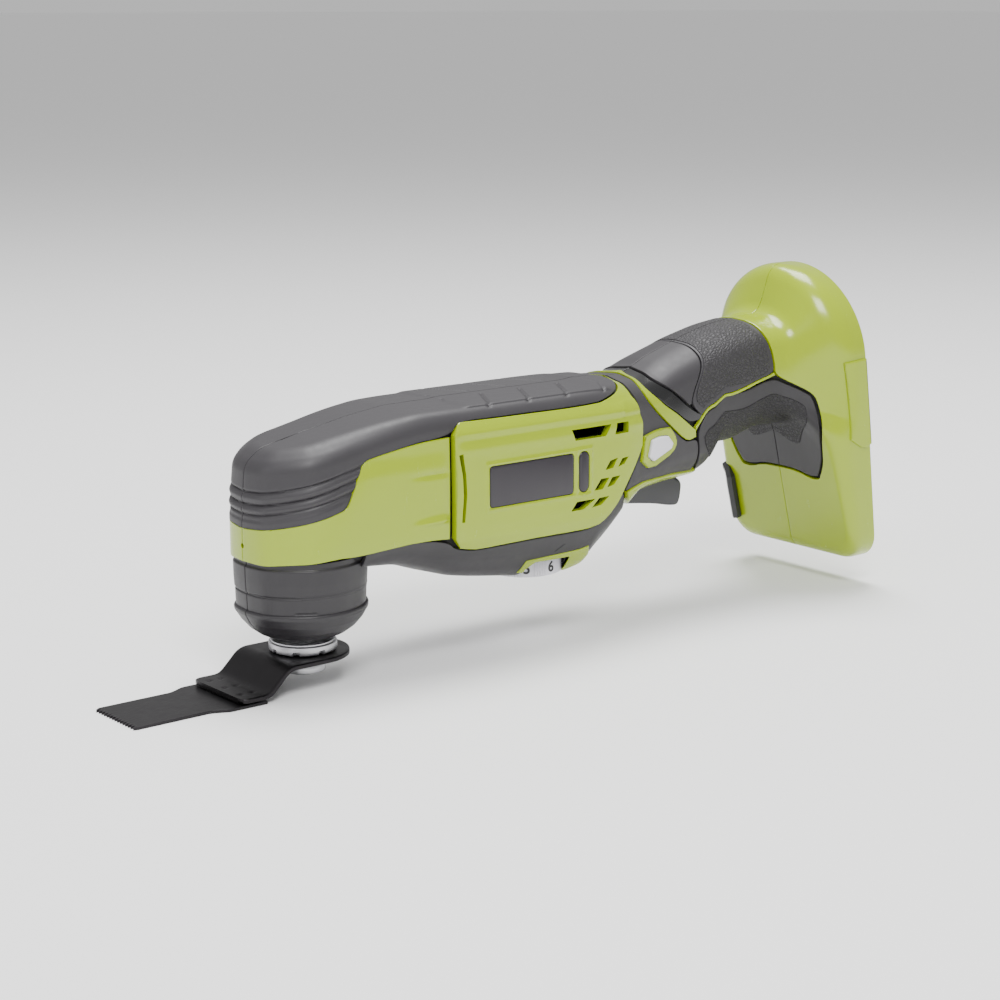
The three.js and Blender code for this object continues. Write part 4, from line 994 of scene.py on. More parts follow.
    def foot_sections(self, handle: Array, s: Array) -> Array:
        """The handle's last section carried out over the foot.

        Each point follows a broken line with rounded corners: along the handle, out over the foot's face or
        dome to its shoulder, and back to the rear rim. Points on it are evenly spaced by length.

        Args:
            handle: the section at the end of the handle, (v, 3).
            s: stations past the handle.

        Returns:
            (stations, v, 3).
        """
        half, height = -handle[:, 1], handle[:, 2]
        angle = np.arctan2(height - self.ray_z, half)
        turn = np.degrees(angle)
        knots = np.array([-90.0, -66, -50, -38, -24, -10, 10, 35, 62, 90])
        table = np.array([
            # neck x, shoulder x, neck reach, shoulder reach, growth of the handle's outline
            [251.0, 256.0, 4, 6.5, 1.0], [251.0, 256.0, 4, 7.0, 1.0], [250.0, 256.0, 5, 9.0, 1.0],
            [246.0, 256.0, 7, 9.5, 1.01], [240.0, 257.4, 9, 11.0, 1.03], [237.0, 258.4, 11, 12, 1.04],
            [236.0, 257.4, 12, 13, 1.05], [236.6, 253.4, 12, 13, 1.05], [238.4, 249.4, 11, 10, 1.03],
            [239.6, 247.2, 9, 6.0, 1.02],
        ])
        value = track(knots, table, np.clip(turn, -90, 90))
        rim = self.arch(angle)
        face = self.face_x + (41.0 - rim[:, 1]) * self.face_lean
        eased = face + (value[:, 1] - face) * smoothstep(-38, -24, turn)
        shoulder_x = np.where(turn < -38, face, np.where(turn < -24, eased, value[:, 1]))
        lean = np.where(turn < -38, 1.0, 1.0 - smoothstep(-38, -20, turn))
        neck_x = value[:, 0] + lean * (41.0 - height) * self.face_lean
        a = np.column_stack([handle[:, 0], half, height])
        grown = np.where(turn > 0, value[:, 4], 1.0)
        b = np.column_stack([neck_x, half * value[:, 4], self.ray_z + (height - self.ray_z) * grown])
        c = np.column_stack([shoulder_x, rim])
        d = np.column_stack([self.rear_plane(rim[:, 1]), rim])
        path = filleted(np.stack([a, b, c, d], axis=1), value[:, 2:4], 12, (8, 12, 12))
        rows = evened(path, (s - self.handle_end) / self.foot_span).transpose(1, 0, 2)
        rows[..., 1] *= -1
        return rows

    def outward(self) -> Array:
        """Unit normals of the table: along s crossed with along v, turned outward."""
        along = np.gradient(self.points, axis=0)
        down = np.gradient(self.points, axis=1)
        cross = -np.cross(along, down)
        size = np.linalg.norm(cross, axis=-1, keepdims=True)
        up = np.array([-self.seam_slope, 0.0, 1.0]) / math.hypot(1.0, self.seam_slope)
        return np.where(size > 1e-4, cross / np.maximum(size, 1e-9), up)

    def index(self, where: Array) -> tuple:
        """Fractional table rows and columns.

        Args:
            where: (..., 2) places in (s, v).

        Returns:
            The rows and the columns.
        """
        i = np.interp(where[..., 0], self.stations, np.arange(len(self.stations)))
        j = np.clip(where[..., 1], 0.0, 1.0) * (self.points.shape[1] - 1)
        return i, j

    def read(self, table: Array, where: Array) -> Array:
        """A table at (s, v) places, bilinear between its points.

        Args:
            table: (stations, v, 3).
            where: (..., 2).

        Returns:
            (..., 3).
        """
        i, j = self.index(where)
        i0 = np.clip(i.astype(int), 0, table.shape[0] - 2)
        j0 = np.clip(j.astype(int), 0, table.shape[1] - 2)
        fi, fj = (i - i0)[..., None], (j - j0)[..., None]
        return (
            table[i0, j0] * (1 - fi) * (1 - fj) + table[i0 + 1, j0] * fi * (1 - fj)
            + table[i0, j0 + 1] * (1 - fi) * fj + table[i0 + 1, j0 + 1] * fi * fj
        )

    def place(self, where: Array) -> tuple:
        """The form at (s, v) places.

        Args:
            where: (..., 2).

        Returns:
            Points and unit normals, (..., 3) each.
        """
        normal = self.read(self.normals, where)
        return self.read(self.points, where), normal / np.maximum(np.linalg.norm(normal, axis=-1,
            keepdims=True), 1e-9)

    def locate(self, spots: Sequence[Point]) -> Array:
        """(s, v) of places on the left side: the nearest point of the table, then one step of refinement.

        Args:
            spots: (x, y, z) each, FREE for a coordinate that doesn't matter; (x, z) is read as (x, FREE, z).

        Returns:
            (n, 2).
        """
        full = np.array([p if len(p) == 3 else (p[0], FREE, p[1]) for p in spots], float)
        known = ~np.isnan(full)
        wanted = np.where(known, full, 0.0)
        found = []
        for spot, use in zip(wanted, known):
            gap = ((self.points - spot) ** 2 * use).sum(-1)
            i, j = np.unravel_index(int(np.argmin(gap)), gap.shape)
            i = min(max(i, 1), gap.shape[0] - 2)
            j = min(max(j, 1), gap.shape[1] - 2)
            ds = (self.points[i + 1, j] - self.points[i - 1, j])[use] / 2
            dv = (self.points[i, j + 1] - self.points[i, j - 1])[use] / 2
            rest = (spot - self.points[i, j])[use]
            step = np.linalg.lstsq(np.stack([ds, dv], axis=1), rest, rcond=None)[0]
            step = np.clip(step, -1.5, 1.5)
            s = np.interp(i + step[0], np.arange(len(self.stations)), self.stations)
            found.append((s, min(max((j + step[1]) / (self.points.shape[1] - 1), 0.0), 1.0)))
        return np.array(found)


@dataclass(frozen=True)
class On:
    """A place given straight in the form's (s, v)."""

    s: float
    v: float


Edge = Sequence[Union[On, Point]]


@dataclass
class Panel:
    """A moulded panel that lies on the form: a four-sided patch with rolled edges and a thickness.

    The patch is a Coons patch in (s, v): the sum of the two ruled surfaces between opposite edges, less the
    bilinear surface through the corners. Each point then stands `rise` off the form along its normal. Round
    the edge the skin rolls over through `roll` and drops to `depth`, where an inner copy closes it.
    """

    form: Form
    bottom: Edge
    top: Edge
    front: Optional[Edge] = None
    rear: Optional[Edge] = None
    columns: int = 60
    rows: int = 40
    rise: Rise = 0.0
    depth: float = 1.5
    roll: float = 0.35
    soften: int = 2
    seam: float = 0.1
    level_rear: bool = False  # the rear edge takes its v from the front edge
    crowd: float = 1.0  # above 1, rows crowd towards the bottom edge

    METRIC = np.array([1.0, 110.0])  # millimetres to a unit of s and of v

    def edge(self, spots: Edge, count: int, power: float = 1.0) -> Array:
        """One edge in (s, v), corners rounded, stepped by length.

        Args:
            spots: the places it runs through.
            count: how many points it gets.
            power: above 1, they crowd towards its start.

        Returns:
            (count, 2).
        """
        fixed = np.array([
            (p.s, p.v) if isinstance(p, On) else tuple(self.form.locate([p])[0]) for p in spots
        ])
        curve = corner_cut(fixed, self.soften) if len(fixed) > 2 else fixed
        share = np.linspace(0.0, 1.0, count) ** power
        return evened((curve * self.METRIC)[None], share)[0] / self.METRIC

    def where(self) -> Array:
        """The patch's (s, v) grid.

        Returns:
            (columns, rows, 2), from front to rear and from bottom to top.
        """
        low, high = self.edge(self.bottom, self.columns), self.edge(self.top, self.columns)
        a = (np.linspace(0.0, 1.0, self.rows) ** self.crowd)[None, :, None]
        b = np.linspace(0.0, 1.0, self.columns)[:, None, None]
        ruled = (1 - a) * low[:, None] + a * high[:, None]
        front = ruled[0] if self.front is None else self.pinned(self.front, low[0], high[0])
        if self.level_rear:
            rear = np.column_stack([np.full(self.rows, low[-1, 0]), front[:, 1]])
        else:
            rear = ruled[-1] if self.rear is None else self.pinned(self.rear, low[-1], high[-1])
        across = (1 - b) * front[None] + b * rear[None]
        corners = (1 - b) * ((1 - a) * low[0] + a * high[0]) + b * ((1 - a) * low[-1] + a * high[-1])
        return ruled + across - corners

    def pinned(self, spots: Edge, first: Array, last: Array) -> Array:
        """A side edge whose ends meet the corners.

        Args:
            spots: the places it runs through.
            first: the lower corner's (s, v).
            last: the upper corner's.

        Returns:
            (rows, 2).
        """
        curve = self.edge(spots, self.rows, self.crowd)
        t = (np.linspace(0.0, 1.0, self.rows) ** self.crowd)[:, None]
        return curve + (1 - t) * (first - curve[0]) + t * (last - curve[-1])

    def skin(self) -> Skin:
        """The closed panel on the left side."""
        where = self.where()
        points, normals = self.form.place(where)
        rise = self.rise(points, normals, where) if callable(self.rise) else self.rise
        points = points + normals * np.broadcast_to(np.asarray(rise, float), points.shape[:2])[..., None]
        points[..., 1] = np.minimum(points[..., 1], -self.seam)
        return shell(points, normals, self.depth, self.roll)


def shell(points: Array, normals: Array, depth: float, roll: float) -> Skin:
    """A grid of points made a closed shell with rolled edges.

    The border moves in by roll. Outside it stand three more rings: 0.3 of the roll in and 0.3 of it down, on
    the edge and the whole roll down, and on the edge at the full depth, where the inner copy meets it.

    Args:
        points: (columns, rows, 3).
        normals: unit normals of the points.
        depth: thickness along the normals.
        roll: radius of the rolled edge.

    Returns:
        The closed shell.
    """
    n, m = points.shape[:2]
    i, j = np.meshgrid(np.arange(-3, n + 3), np.arange(-3, m + 3), indexing="ij")
    ci, cj = np.clip(i, 0, n - 1), np.clip(j, 0, m - 1)
    level = np.maximum(np.maximum(-i, i - n + 1), np.maximum(-j, j - m + 1))
    border = (ci == 0) | (ci == n - 1) | (cj == 0) | (cj == m - 1)
    inner = points[np.clip(ci, 2, n - 3), np.clip(cj, 2, m - 3)] - points[ci, cj]
    inner = inner / np.maximum(np.linalg.norm(inner, axis=-1, keepdims=True), 1e-6)
    level = np.where(border, np.maximum(level, 0), 0)
    shift = np.where(border, np.array([1.0, 0.3, 0.0, 0.0])[level] * roll, 0.0)
    drop = np.where(border, np.array([0.0, 0.3 * roll, roll, depth])[level], 0.0)
    outer = points[ci, cj] + inner * shift[..., None] - normals[ci, cj] * drop[..., None]
    back = points - normals * depth
    faces = grid_faces(n + 6, m + 6)
    start = outer.shape[0] * outer.shape[1]
    faces += grid_faces(n, m, start=start, flip=True)
    return Skin(np.vstack([outer.reshape(-1, 3), back.reshape(-1, 3)]), faces)


def prism(outline: Sequence[Point], near: float, far: float) -> Skin:
    """A side-view outline carried straight across.

    Args:
        outline: (x, z) corners, counter-clockwise.
        near: the lower y.
        far: the upper y.

    Returns:
        The closed shape.
    """
    return turned_to(slab(np.array(outline, float), (near, far)), (0, 2, 1))


# ---- housing ------------------------------------------------------------------------------------------
@dataclass
class Housing:
    """Green clamshell, grey overmoulds, a near-black inner shell of painted shade, boot and battery dock."""

    shop: Workshop
    form: Form
    dial_x: float = 108.0
    dial_way: float = 17.1

    CAP_EDGE = ((-25.2, 0, 35.4), (-20, 36.8), (-10, 39.2), (0, 41.7), (3.6, 42.9), (5.8, 46.9), (10.9, 57.9),
                (13.4, 59.6), (17, 60.3), (28.3, 62.1), (50.6, 64.0))
    BAY_EDGE = ((54.6, -25.4, 69.6), (75, -25.8, 69.3), (100, -26, 69.1), (121, -25.8, 69.3),
                (128, -25.4, 69.8),
                (134, -23.8, 71.1), (139, -21.1, 72.6), (142.5, -16.3, 73.5), (146, -8.8, 73.9))
    BELLY_EDGE = ((50.2, 24.3), (55.0, 18.9), (84, 18.6), (109, 18.6), (123.5, 18.9), (129, 22.4),
                  (134.5, 28.4))
    ARC = ((150.2, -3.2, 73.9), (146.4, -14.6, 73.2), (145.6, -20.8, 70.9), (147.6, 65.1), (149.4, 57),
           (149.4, 48.7), (147.4, 42.9), (142.0, 35.2), (139.4, 31.4))
    BAND_LOW = ((157.4, -3.4, 74.5), (155.6, -10.3, 73.8), (153.7, -18.7, 71.0), (154.6, 66.8), (159.4, 61.7),
                (165.2, 56.5), (169.2, 53.1), (175.2, 48.3), (179.2, 46.2), (183.2, 47.6))
    BAND_HIGH = ((158.8, -4.4, 74.5), (156.8, -12.0, 73.7), (156.6, -19.4, 70.1), (162.3, 65.4),
                 (171.2, 59.6),
                 (179.2, 53.6), (183.2, 50.9))
    LINE = ((183.4, 50.9), (187, 55.2), (190, 58.6), (195, 60.4), (203, 62.7), (215, 65.8), (225, 68.3),
            (229, 69.4))

    def shift(self, spots: Edge, dx: float = 0.0, dz: float = 0.0) -> list:
        """An edge moved in the side view."""
        return [(p[0] + dx, *p[1:-1], p[-1] + dz) for p in spots]

    def vents(self) -> Skin:
        """The vent slots and the front intake slit as one cutter."""
        rows = [
            ((109.2, 60.2), (130.0, 60.2), (127.0, 55.8), (111.0, 55.8)),
            ((133.2, 60.2), (139.6, 60.2), (139.6, 55.8), (132.0, 55.8)),
            ((126.8, 42.0), (131.0, 42.4), (133.6, 46.2), (129.4, 45.4)),
            ((133.8, 42.4), (137.4, 43.2), (139.8, 45.9), (136.2, 45.6)),
            ((121.0, 34.4), (125.4, 34.4), (129.0, 38.7), (124.6, 38.7)),
            ((127.8, 34.8), (131.4, 35.4), (135.2, 38.8), (130.6, 38.6)),
            ((109.0, 27.5), (115.4, 27.5), (121.6, 31.0), (112.0, 31.0)),
            ((119.8, 27.6), (125.0, 28.2), (129.0, 31.2), (123.6, 31.0)),
            ((53.4, 57.0), (55.2, 57.4), (56.6, 49.0), (57.0, 41.2), (56.0, 30.6), (54.6, 30.8), (55.4, 41.2),
             (55.0, 49.0)),
        ]
        slots = [prism(self.wound(r), -60.0, -14.0) for r in rows]
        return sum(slots[1:], slots[0])

    @staticmethod
    def wound(outline: Sequence[Point]) -> Array:
        """The outline, counter-clockwise in (x, z)."""
        loop = np.array(outline, float)
        turn = np.roll(loop, -1, axis=0)
        area = (loop[:, 0] * turn[:, 1] - turn[:, 0] * loop[:, 1]).sum()
        return loop if area > 0 else loop[::-1]

    def saddle_rise(self, p: Array, n: Array, where: Array) -> Array:
        """The side panel's rise: 0.35 at the cap, 2.4 over the side, 0.9 at the belly.

        Two soft grooves and a ridge run along it, and frames stand round the badge and the insert.

        Args:
            p: points of the form.
            n: its unit normals there; not used.
            where: their (s, v); not used.

        Returns:
            The rise in millimetres.
        """
        z = p[..., 2]
        crown = 0.35 + 2.05 * smoothstep(69.4, 64.2, z)
        crown = np.where(p[..., 0] > 138, np.minimum(crown, 0.35 + 2.05 * smoothstep(70.5, 62.0, z)), crown)
        foot = 0.9 + 1.5 * smoothstep(18.6, 26.0, z)
        ridges = -0.45 * ridge(62.0, 1.5, z) + 0.3 * ridge(58.0, 2.2, z) - 0.25 * ridge(25.5, 1.6, z)
        frames = np.zeros_like(z)
        for cx, cz, hx, hz in ((89.0, 42.75, 21.3, 8.25), (115.5, 42.8, 2.9, 8.4)):
            outside = np.maximum(np.abs(p[..., 0] - cx) - hx, np.abs(z - cz) - hz)
            frames = np.maximum(frames, 0.5 * ridge(0.75, 0.6, outside))
        return np.minimum(crown, foot) + ridges * smoothstep(52, 58, p[..., 0]) + frames

    def band_rise(self, p: Array, n: Array, where: Array) -> Array:
        """The side band stands 0.55 off the form, with a rib and a groove near the bay and a step in front.

        Args:
            p: points of the form.
            n: its unit normals there; not used.
            where: their (s, v); not used.

        Returns:
            The rise in millimetres.
        """
        x, z = p[..., 0], p[..., 2]
        along = smoothstep(30, 44, x) * smoothstep(50.5, 47, x)
        ribs = 1.1 * ridge(32.4 + 0.05 * (x - 40), 1.3, z) * along - 0.8 * ridge(50.6, 1.0, z) * along
        face = smoothstep(-4, 8, x - 0.55 * (z - 42))
        return 0.55 + ribs + 0.55 * face * smoothstep(60, 52, z) * smoothstep(22, 30, z) * smoothstep(52, 46,
            x)

    def cap_rise(self, p: Array, n: Array, where: Array) -> Array:
        """The cap's relief: three grooves round the nose, pads with slanted breaks, a thumb rest.

        Args:
            p: points of the form.
            n: its unit normals there.
            where: their (s, v); not used.

        Returns:
            The rise in millimetres.
        """
        x, y, z = p[..., 0], np.abs(p[..., 1]), p[..., 2]
        side = smoothstep(0.9, 0.6, n[..., 2])
        rise = 0.25 * np.ones_like(x)
        for height, slope, deep in ((55.0, 0.23, 0.75), (50.7, 0.24, 0.75), (47.0, 0.24, 0.6)):
            rise -= deep * ridge(height + slope * x, 0.42, z) * side * smoothstep(17, 13, x)
        rise += 0.5 * ridge(48.7 + 0.24 * x, 1.1, z) * side * smoothstep(14, 9, x)
        rise += 0.5 * ridge(52.8 + 0.23 * x, 1.1, z) * side * smoothstep(16, 11, x)
        rise += 0.35 * smoothstep(45.5 + 0.25 * x, 44.0 + 0.25 * x, z) * smoothstep(6, 0, x)
        top = smoothstep(0.75, 0.92, n[..., 2])
        pads = smoothstep(60, 64, x) * smoothstep(137, 133, x)
        edge = 22.6 - y
        rise += 0.45 * pads * top * smoothstep(0.4, 1.2, edge)
        phase = (x + 0.55 * (y - 10) - 79.5) / 19.5
        gap = np.abs(phase - np.round(phase)) * 19.5
        rise -= 0.55 * pads * top * smoothstep(0.9, 0.35, gap) * smoothstep(3.0, 5.0, y)
        rest = smoothstep(126, 138, x) * smoothstep(149.5, 143, x)
        rise += 0.9 * rest * smoothstep(22, 12, y) * top
        return rise

    def pair(self, name: str, panel: Panel, finish: Finish, replaces: str = "", both: Sequence[Skin] = (),
             left: Sequence[Skin] = ()) -> None:
        """A panel on both sides.

        Args:
            name: the piece's name without its side.
            panel: the left panel.
            finish: its finish.
            replaces: frame nodes without their side.
            both: cutters on both sides, given for the left.
            left: cutters on the left only.
        """
        skin = panel.skin()
        nodes = replaces.split()
        self.shop.piece(f"{name}_left", skin, "housing", finish, [f"{r}_left" for r in nodes], [*both, *left])
        mirror = [c.mirrored() for c in both]
        self.shop.piece(f"{name}_right", skin.mirrored(), "housing", finish, [f"{r}_right" for r in nodes],
                        mirror)

    def dial_cut(self) -> Skin:
        """The room of the dial below the belly."""
        return turned([(self.dial_way, -30.0), (self.dial_way, 6.9)], (self.dial_x, 0.0), 72)

    def dial_window(self) -> Skin:
        """The opening in both sides through which the dial's rim shows."""
        return prism([(95.2, -30.0), (115.6, -30.0), (115.6, 6.2), (115.0, 6.8), (98.0, 6.8), (95.2, 4.0)],
                     -60.0, 60.0)

    def trigger_cut(self) -> Skin:
        """The slot of the trigger."""
        return prism([(149.9, 8.0), (191.2, 8.0), (191.2, 39.5), (149.9, 39.5)], -9.3, 9.3)

    def build_shell(self) -> None:
        """The green panels and the near-black inner shell that paints the shade in gaps and vents."""
        f = self.form
        nose_low = ((-25.2, 0, 22.8), (-20, 23.0), (-8, 23.9), (0, 24.4), (24, 24.4), (50.4, 24.6))
        band = Panel(f, nose_low, self.CAP_EDGE, columns=150, rows=80, rise=self.band_rise)
        self.pair("side_band", band, Finish.GREEN, "housing", [self.nose_hole()])
        saddle = Panel(
            f, ((52.2, -26, 24.6), (53.6, 22.8), (56.4, 19.3), *self.shift(self.BELLY_EDGE[2:], 0.5, 0.3),
                (140, 36.0), (145, 43.2), (148.2, 49.0)),
            ((52.0, -25.4, 64.4), (53.0, 66.2), (54.9, -25.4, 69.0), (56.6, -25.4, 69.2),
             *self.shift(self.BAY_EDGE[1:], 0.9, -0.45), (150.6, 0, 74)),
            rear=((148.2, 49.0), (148.6, 57), (146.9, 65.1), (144.8, -20.8, 70.9), (145.7, -14.6, 73.2),
                  (150.6, 0, 74)),
            columns=220, rows=110, rise=self.saddle_rise, depth=3.2, roll=0.5, soften=1)
        plates = [
            prism(self.wound(Controls.softened(Controls.box_loop(67.7, 110.2, 34.5, 51.0), 1.8)), -60, -28.1),
            prism(self.rounded_slot(112.7, 118.3, 34.4, 51.2), -60, -28.1),
        ]
        self.pair("side_panel", saddle, Finish.GREEN, "", [self.vents(), *plates])
        diagonal = Panel(f, ((158.0, 0, 74.8), *self.shift(self.BAND_LOW, 0.35, 0.1)),
                         ((160.6, 0, 75.3), *self.shift(self.BAND_HIGH, 0.0, -0.2)), columns=110, rows=24,
                         rise=0.45)
        self.pair("diagonal_band", diagonal, Finish.GREEN)
        line = Panel(f, self.shift(self.LINE, 0.1, -0.6), self.shift(self.LINE, -0.1, 0.6), columns=90,
                     rows=8,
                     rise=0.25, roll=0.25)
        self.pair("grip_line", line, Finish.GREEN)
        trim = Panel(f, ((150.0, -9.6, 25.6), (160, -9.6, 27.6), (176, -9.6, 28.2), (190.2, -9.6, 28.6)),
                     ((141.4, 30.6), (151, 32.3), (165, 32.9), (176, 32.8), (189.6, 32.2)), columns=80,
                     rows=22,
                     rise=0.9, roll=0.6, depth=2.2)
        self.pair("trigger_trim", trim, Finish.GREEN)
        pad = ((256.0, 0, 22.3), (256.4, -15.2, 21.9), (255.6, -27.6, 25.6), (252.4, -29.6, 37.0),
               (248.9, -30.9, 48.5), (247.9, -29.4, 55.4), (246.0, -28.4, 60.0), (237.6, -23.3, 64.7),
               (229.3, 69.2), (229.3, 73.5), (228.2, 79.9), (226.4, 85.6), (226.2, -12.6, 89.3),
               (225.2, -7.8, 91.0),
               (224.7, 0, 91.6))
        dome = Panel(f, (pad[0], On(288, 1.0)), (On(224.7, 0.0), On(288, 0.0)), front=pad, columns=110,
                     rows=220,
                     level_rear=True, rise=0.25, depth=2.4)
        self.pair("foot_shell", dome, Finish.GREEN)
        plate = Panel(f, ((259.6, -36.5, 39.6), (268.0, -38, 34.4), (273.4, -38, 36.6)),
                      ((255.6, -36.0, 73.4), (267.0, -38, 74.6)), columns=44, rows=60, rise=1.35, depth=1.8,
                      roll=0.6, soften=1)
        self.pair("foot_side_plate", plate, Finish.GREEN)
        frame = Panel(f, ((92.4, -15.4, 1.6), (100, -14.6, 0.2), (118, -14.6, -0.6), (127.6, -14.8, 2.0)),
                      ((93.2, 8.4), (109, 9.5), (124.2, 10.3)), rear=((127.6, -14.8, 2.0), (128.4, 5.6),
                          (124.2, 10.3)),
                      columns=70, rows=30, rise=0.55)
        self.pair("dial_frame", frame, Finish.GREEN, "", [self.dial_cut(), self.dial_window()])
        # painted shade: a near-black inner sheet under the panels, so the gaps between them and the vents
        # read dark
        core = Panel(f, (On(-40, 1.0), On(275, 1.0)), (On(-40, 0.0), On(275, 0.0)), columns=190, rows=70,
                     rise=-1.9,
                     depth=1.6, roll=0.1)
        self.pair("painted_shade_shell", core, Finish.HOLLOW, "",
                  [self.vents(), self.dial_cut(), self.dial_window(), self.trigger_cut()],
                  [prism(self.wound(Controls.BUTTON), -60.0, -10.0)])

    def nose_hole(self) -> Skin:
        """The small round hole on the nose's seam."""
        ringed = turned([(1.0, -34.0), (1.0, -20.0)], (0.0, 0.0), 20)
        laid = turned_to(ringed, (2, 0, 1))
        return Skin(laid.points + np.array([0.0, 0.0, 28.6]), laid.faces)

    @staticmethod
    def rounded_slot(x0: float, x1: float, z0: float, z1: float) -> Array:
        """An upright slot with round ends.

        Args:
            x0: its left side.
            x1: its right side.
            z0: its lower end.
            z1: its upper end.

        Returns:
            (n, 2) of (x, z).
        """
        r, cx = (x1 - x0) / 2, (x0 + x1) / 2
        a = np.linspace(0, np.pi, 14)
        return np.vstack([
            np.column_stack([cx + r * np.cos(a), z1 - r + r * np.sin(a)]),
            np.column_stack([cx - r * np.cos(a), z0 + r - r * np.sin(a)]),
        ])

    def build_overmoulds(self) -> None:
        """The grey pieces."""
        f = self.form
        cap = Panel(f, (*self.CAP_EDGE[:-1], (51.0, 64.3), *self.BAY_EDGE, (149.4, 0, 74)),
                    (On(-40, 0.0), On(149.4, 0.0)), columns=250, rows=120, crowd=1.15, rise=self.cap_rise)
        self.pair("top_cap_skin", cap, Finish.SOFT, "top_cap")
        belly = Panel(f, (On(12, 1.0), On(150.0, 1.0)),
                      ((12, 24.0), *self.shift(self.BELLY_EDGE, -0.2, -0.3), (139.6, 30.4)),
                      columns=130, rows=60, rise=0.15)
        self.pair("belly_skin", belly, Finish.DARK, "belly_pad", [self.dial_cut(), self.dial_window()])
        waist = Panel(f, ((141.6, 31.0), (151, 32.2), (165, 32.6), (176, 32.5), (186.2, 32.2)),
                      (On(152.0, 0.0), On(157.3, 0.0)),
                      front=((141.6, 31.0), *self.shift(self.ARC[:0:-1], 1.2, 0.0), (152.0, 0, 74)),
                      rear=((186.2, 32.2), (185.6, 41), (185.0, 45.6), (183.0, 46.4),
                            *self.shift(self.BAND_LOW[-2::-1], -0.1, -0.35), (157.3, 0, 74.6)),
                      columns=60, rows=110, rise=0.1)
        hole = prism(self.wound(Controls.BUTTON), -60.0, -14.0)
        self.pair("waist_skin", waist, Finish.SOFT, "waist_pad", [], [hole])
        strip = Panel(f, ((161.1, 0, 75.4), *self.shift(self.BAND_HIGH[:-1], 0.45, 0.3), (185.8, 54.6)),
                      ((165.0, 0, 76.2), (163.2, -10.1, 74.9), (163.0, -15.2, 73.3), (166, -19.3, 70.6),
                       (173, 65.9),
                       (178.6, 61.0), (185.0, 57.3), (187.6, 56.8)), columns=110, rows=20, rise=-0.25)
        self.pair("glossy_strip", strip, Finish.GLOSS)
        thumb = Panel(f, ((180.4, 61.8), (181.4, 65.6), (185.0, 71.9), (188.0, 76.9), (189.2, -15.4, 80.7),
                          (189.2, -8.7, 83.8),
                       (188.6, 0, 84.5)),
                      ((179.4, 61.4), (174, 66.0), (166.8, 70.8), (163.8, -15.2, 73.5), (164.0, -10.1, 75.0),
                       (165.6, 0, 76.4)), columns=100, rows=40, rise=0.35)
        self.pair("thumb_rest", thumb, Finish.SOFT)
        base = Panel(f, ((186.6, 56.4), (190.4, 59.7), (195, 61.3), (203, 63.6), (215, 66.7), (225.4, 69.3)),
                     (On(189.2, 0.0), On(224.0, 0.0)),
                     front=((186.6, 56.4), (181.0, 61.5), (182.2, 65.5), (185.9, 71.9), (188.8, 76.9),
                            (189.9, -15.4, 80.9),
                            (189.9, -8.7, 84.0), (189.2, 0, 84.7)),
                     rear=((225.4, 69.3), (228.4, 70.6), (228.6, 73.5), (227.4, 79.8), (225.6, 85.5),
                           (225.4, -12.6, 89.2),
                           (224.4, -7.8, 90.9), (224.0, 0, 91.5)), columns=60, rows=60, rise=0.1)
        self.pair("grip_border", base, Finish.SOFT, "handle_grip")
        weave = Panel(f, ((187.6, 59.4), (190.8, 62.0), (195, 63.2), (209, 66.7), (222.8, 69.9)),
                      (On(190.4, 0.0), On(221.8, 0.0)),
                      front=((187.6, 59.4), (183.6, 62.2), (183.6, 65.9), (187.0, 71.9), (189.9, 76.9),
                             (190.9, -15.4, 81.1),
                             (191.0, -8.7, 84.3), (190.4, 0, 85.0)),
                      rear=((222.8, 69.9), (225.8, 71.2), (226.4, 73.5), (225.2, 79.8), (223.4, 85.2),
                            (223.2, -12.6, 89.0),
                            (222.2, -7.8, 90.7), (221.8, 0, 91.3)), columns=60, rows=60, rise=0.45)
        self.pair("grip_texture", weave, Finish.PEBBLED)
        pad = Panel(f, (On(190.6, 1.0), (255.7, 0, 23.2)),
                    ((186.0, 51.4), (190, 57.5), (195, 59.3), (209, 62.9),
                    (228, 67.8), (237, -23.0, 63.6), (245, -27.7, 59.1)),
                    front=(On(190.6, 1.0), (189.8, -13, 31.8), (187.0, 36), (185.9, 44), (185.2, 48.6),
                           (186.0, 51.4)),
                    rear=((255.7, 0, 23.2), (256.0, -15.2, 22.8), (255.0, -26.6, 26.6), (251.4, -28.5, 37),
                          (248.0, -29.9, 48.5), (246.9, -28.4, 55.2), (245, -27.7, 59.1)),
                    columns=120, rows=90, rise=0.1)
        self.pair("foot_pad_skin", pad, Finish.DARK, "foot_pad")
        inset = Panel(f, (On(199.4, 1.0), (251.3, 0, 39.8)),
                      ((188.9, 46.8), (190.4, 49.2), (193.4, 51.3), (210, 55.7),
                      (224, 60.0), (229.6, 61.0), (235.6, 58.8), (243.0, -24.7, 55.2)),
                      front=(On(199.4, 1.0), (193.6, -14, 40.0), (189.6, 43.0), (188.9, 46.8)),
                      rear=((251.3, 0, 39.8), (250.2, -19.2, 42.3), (247.2, -23.9, 45.6),
                            (244.8, -25.8, 53.5),
                            (243.0, -24.7, 55.2)), columns=90, rows=60, rise=0.5)
        self.pair("underside_texture", inset, Finish.PEBBLED_DARK)

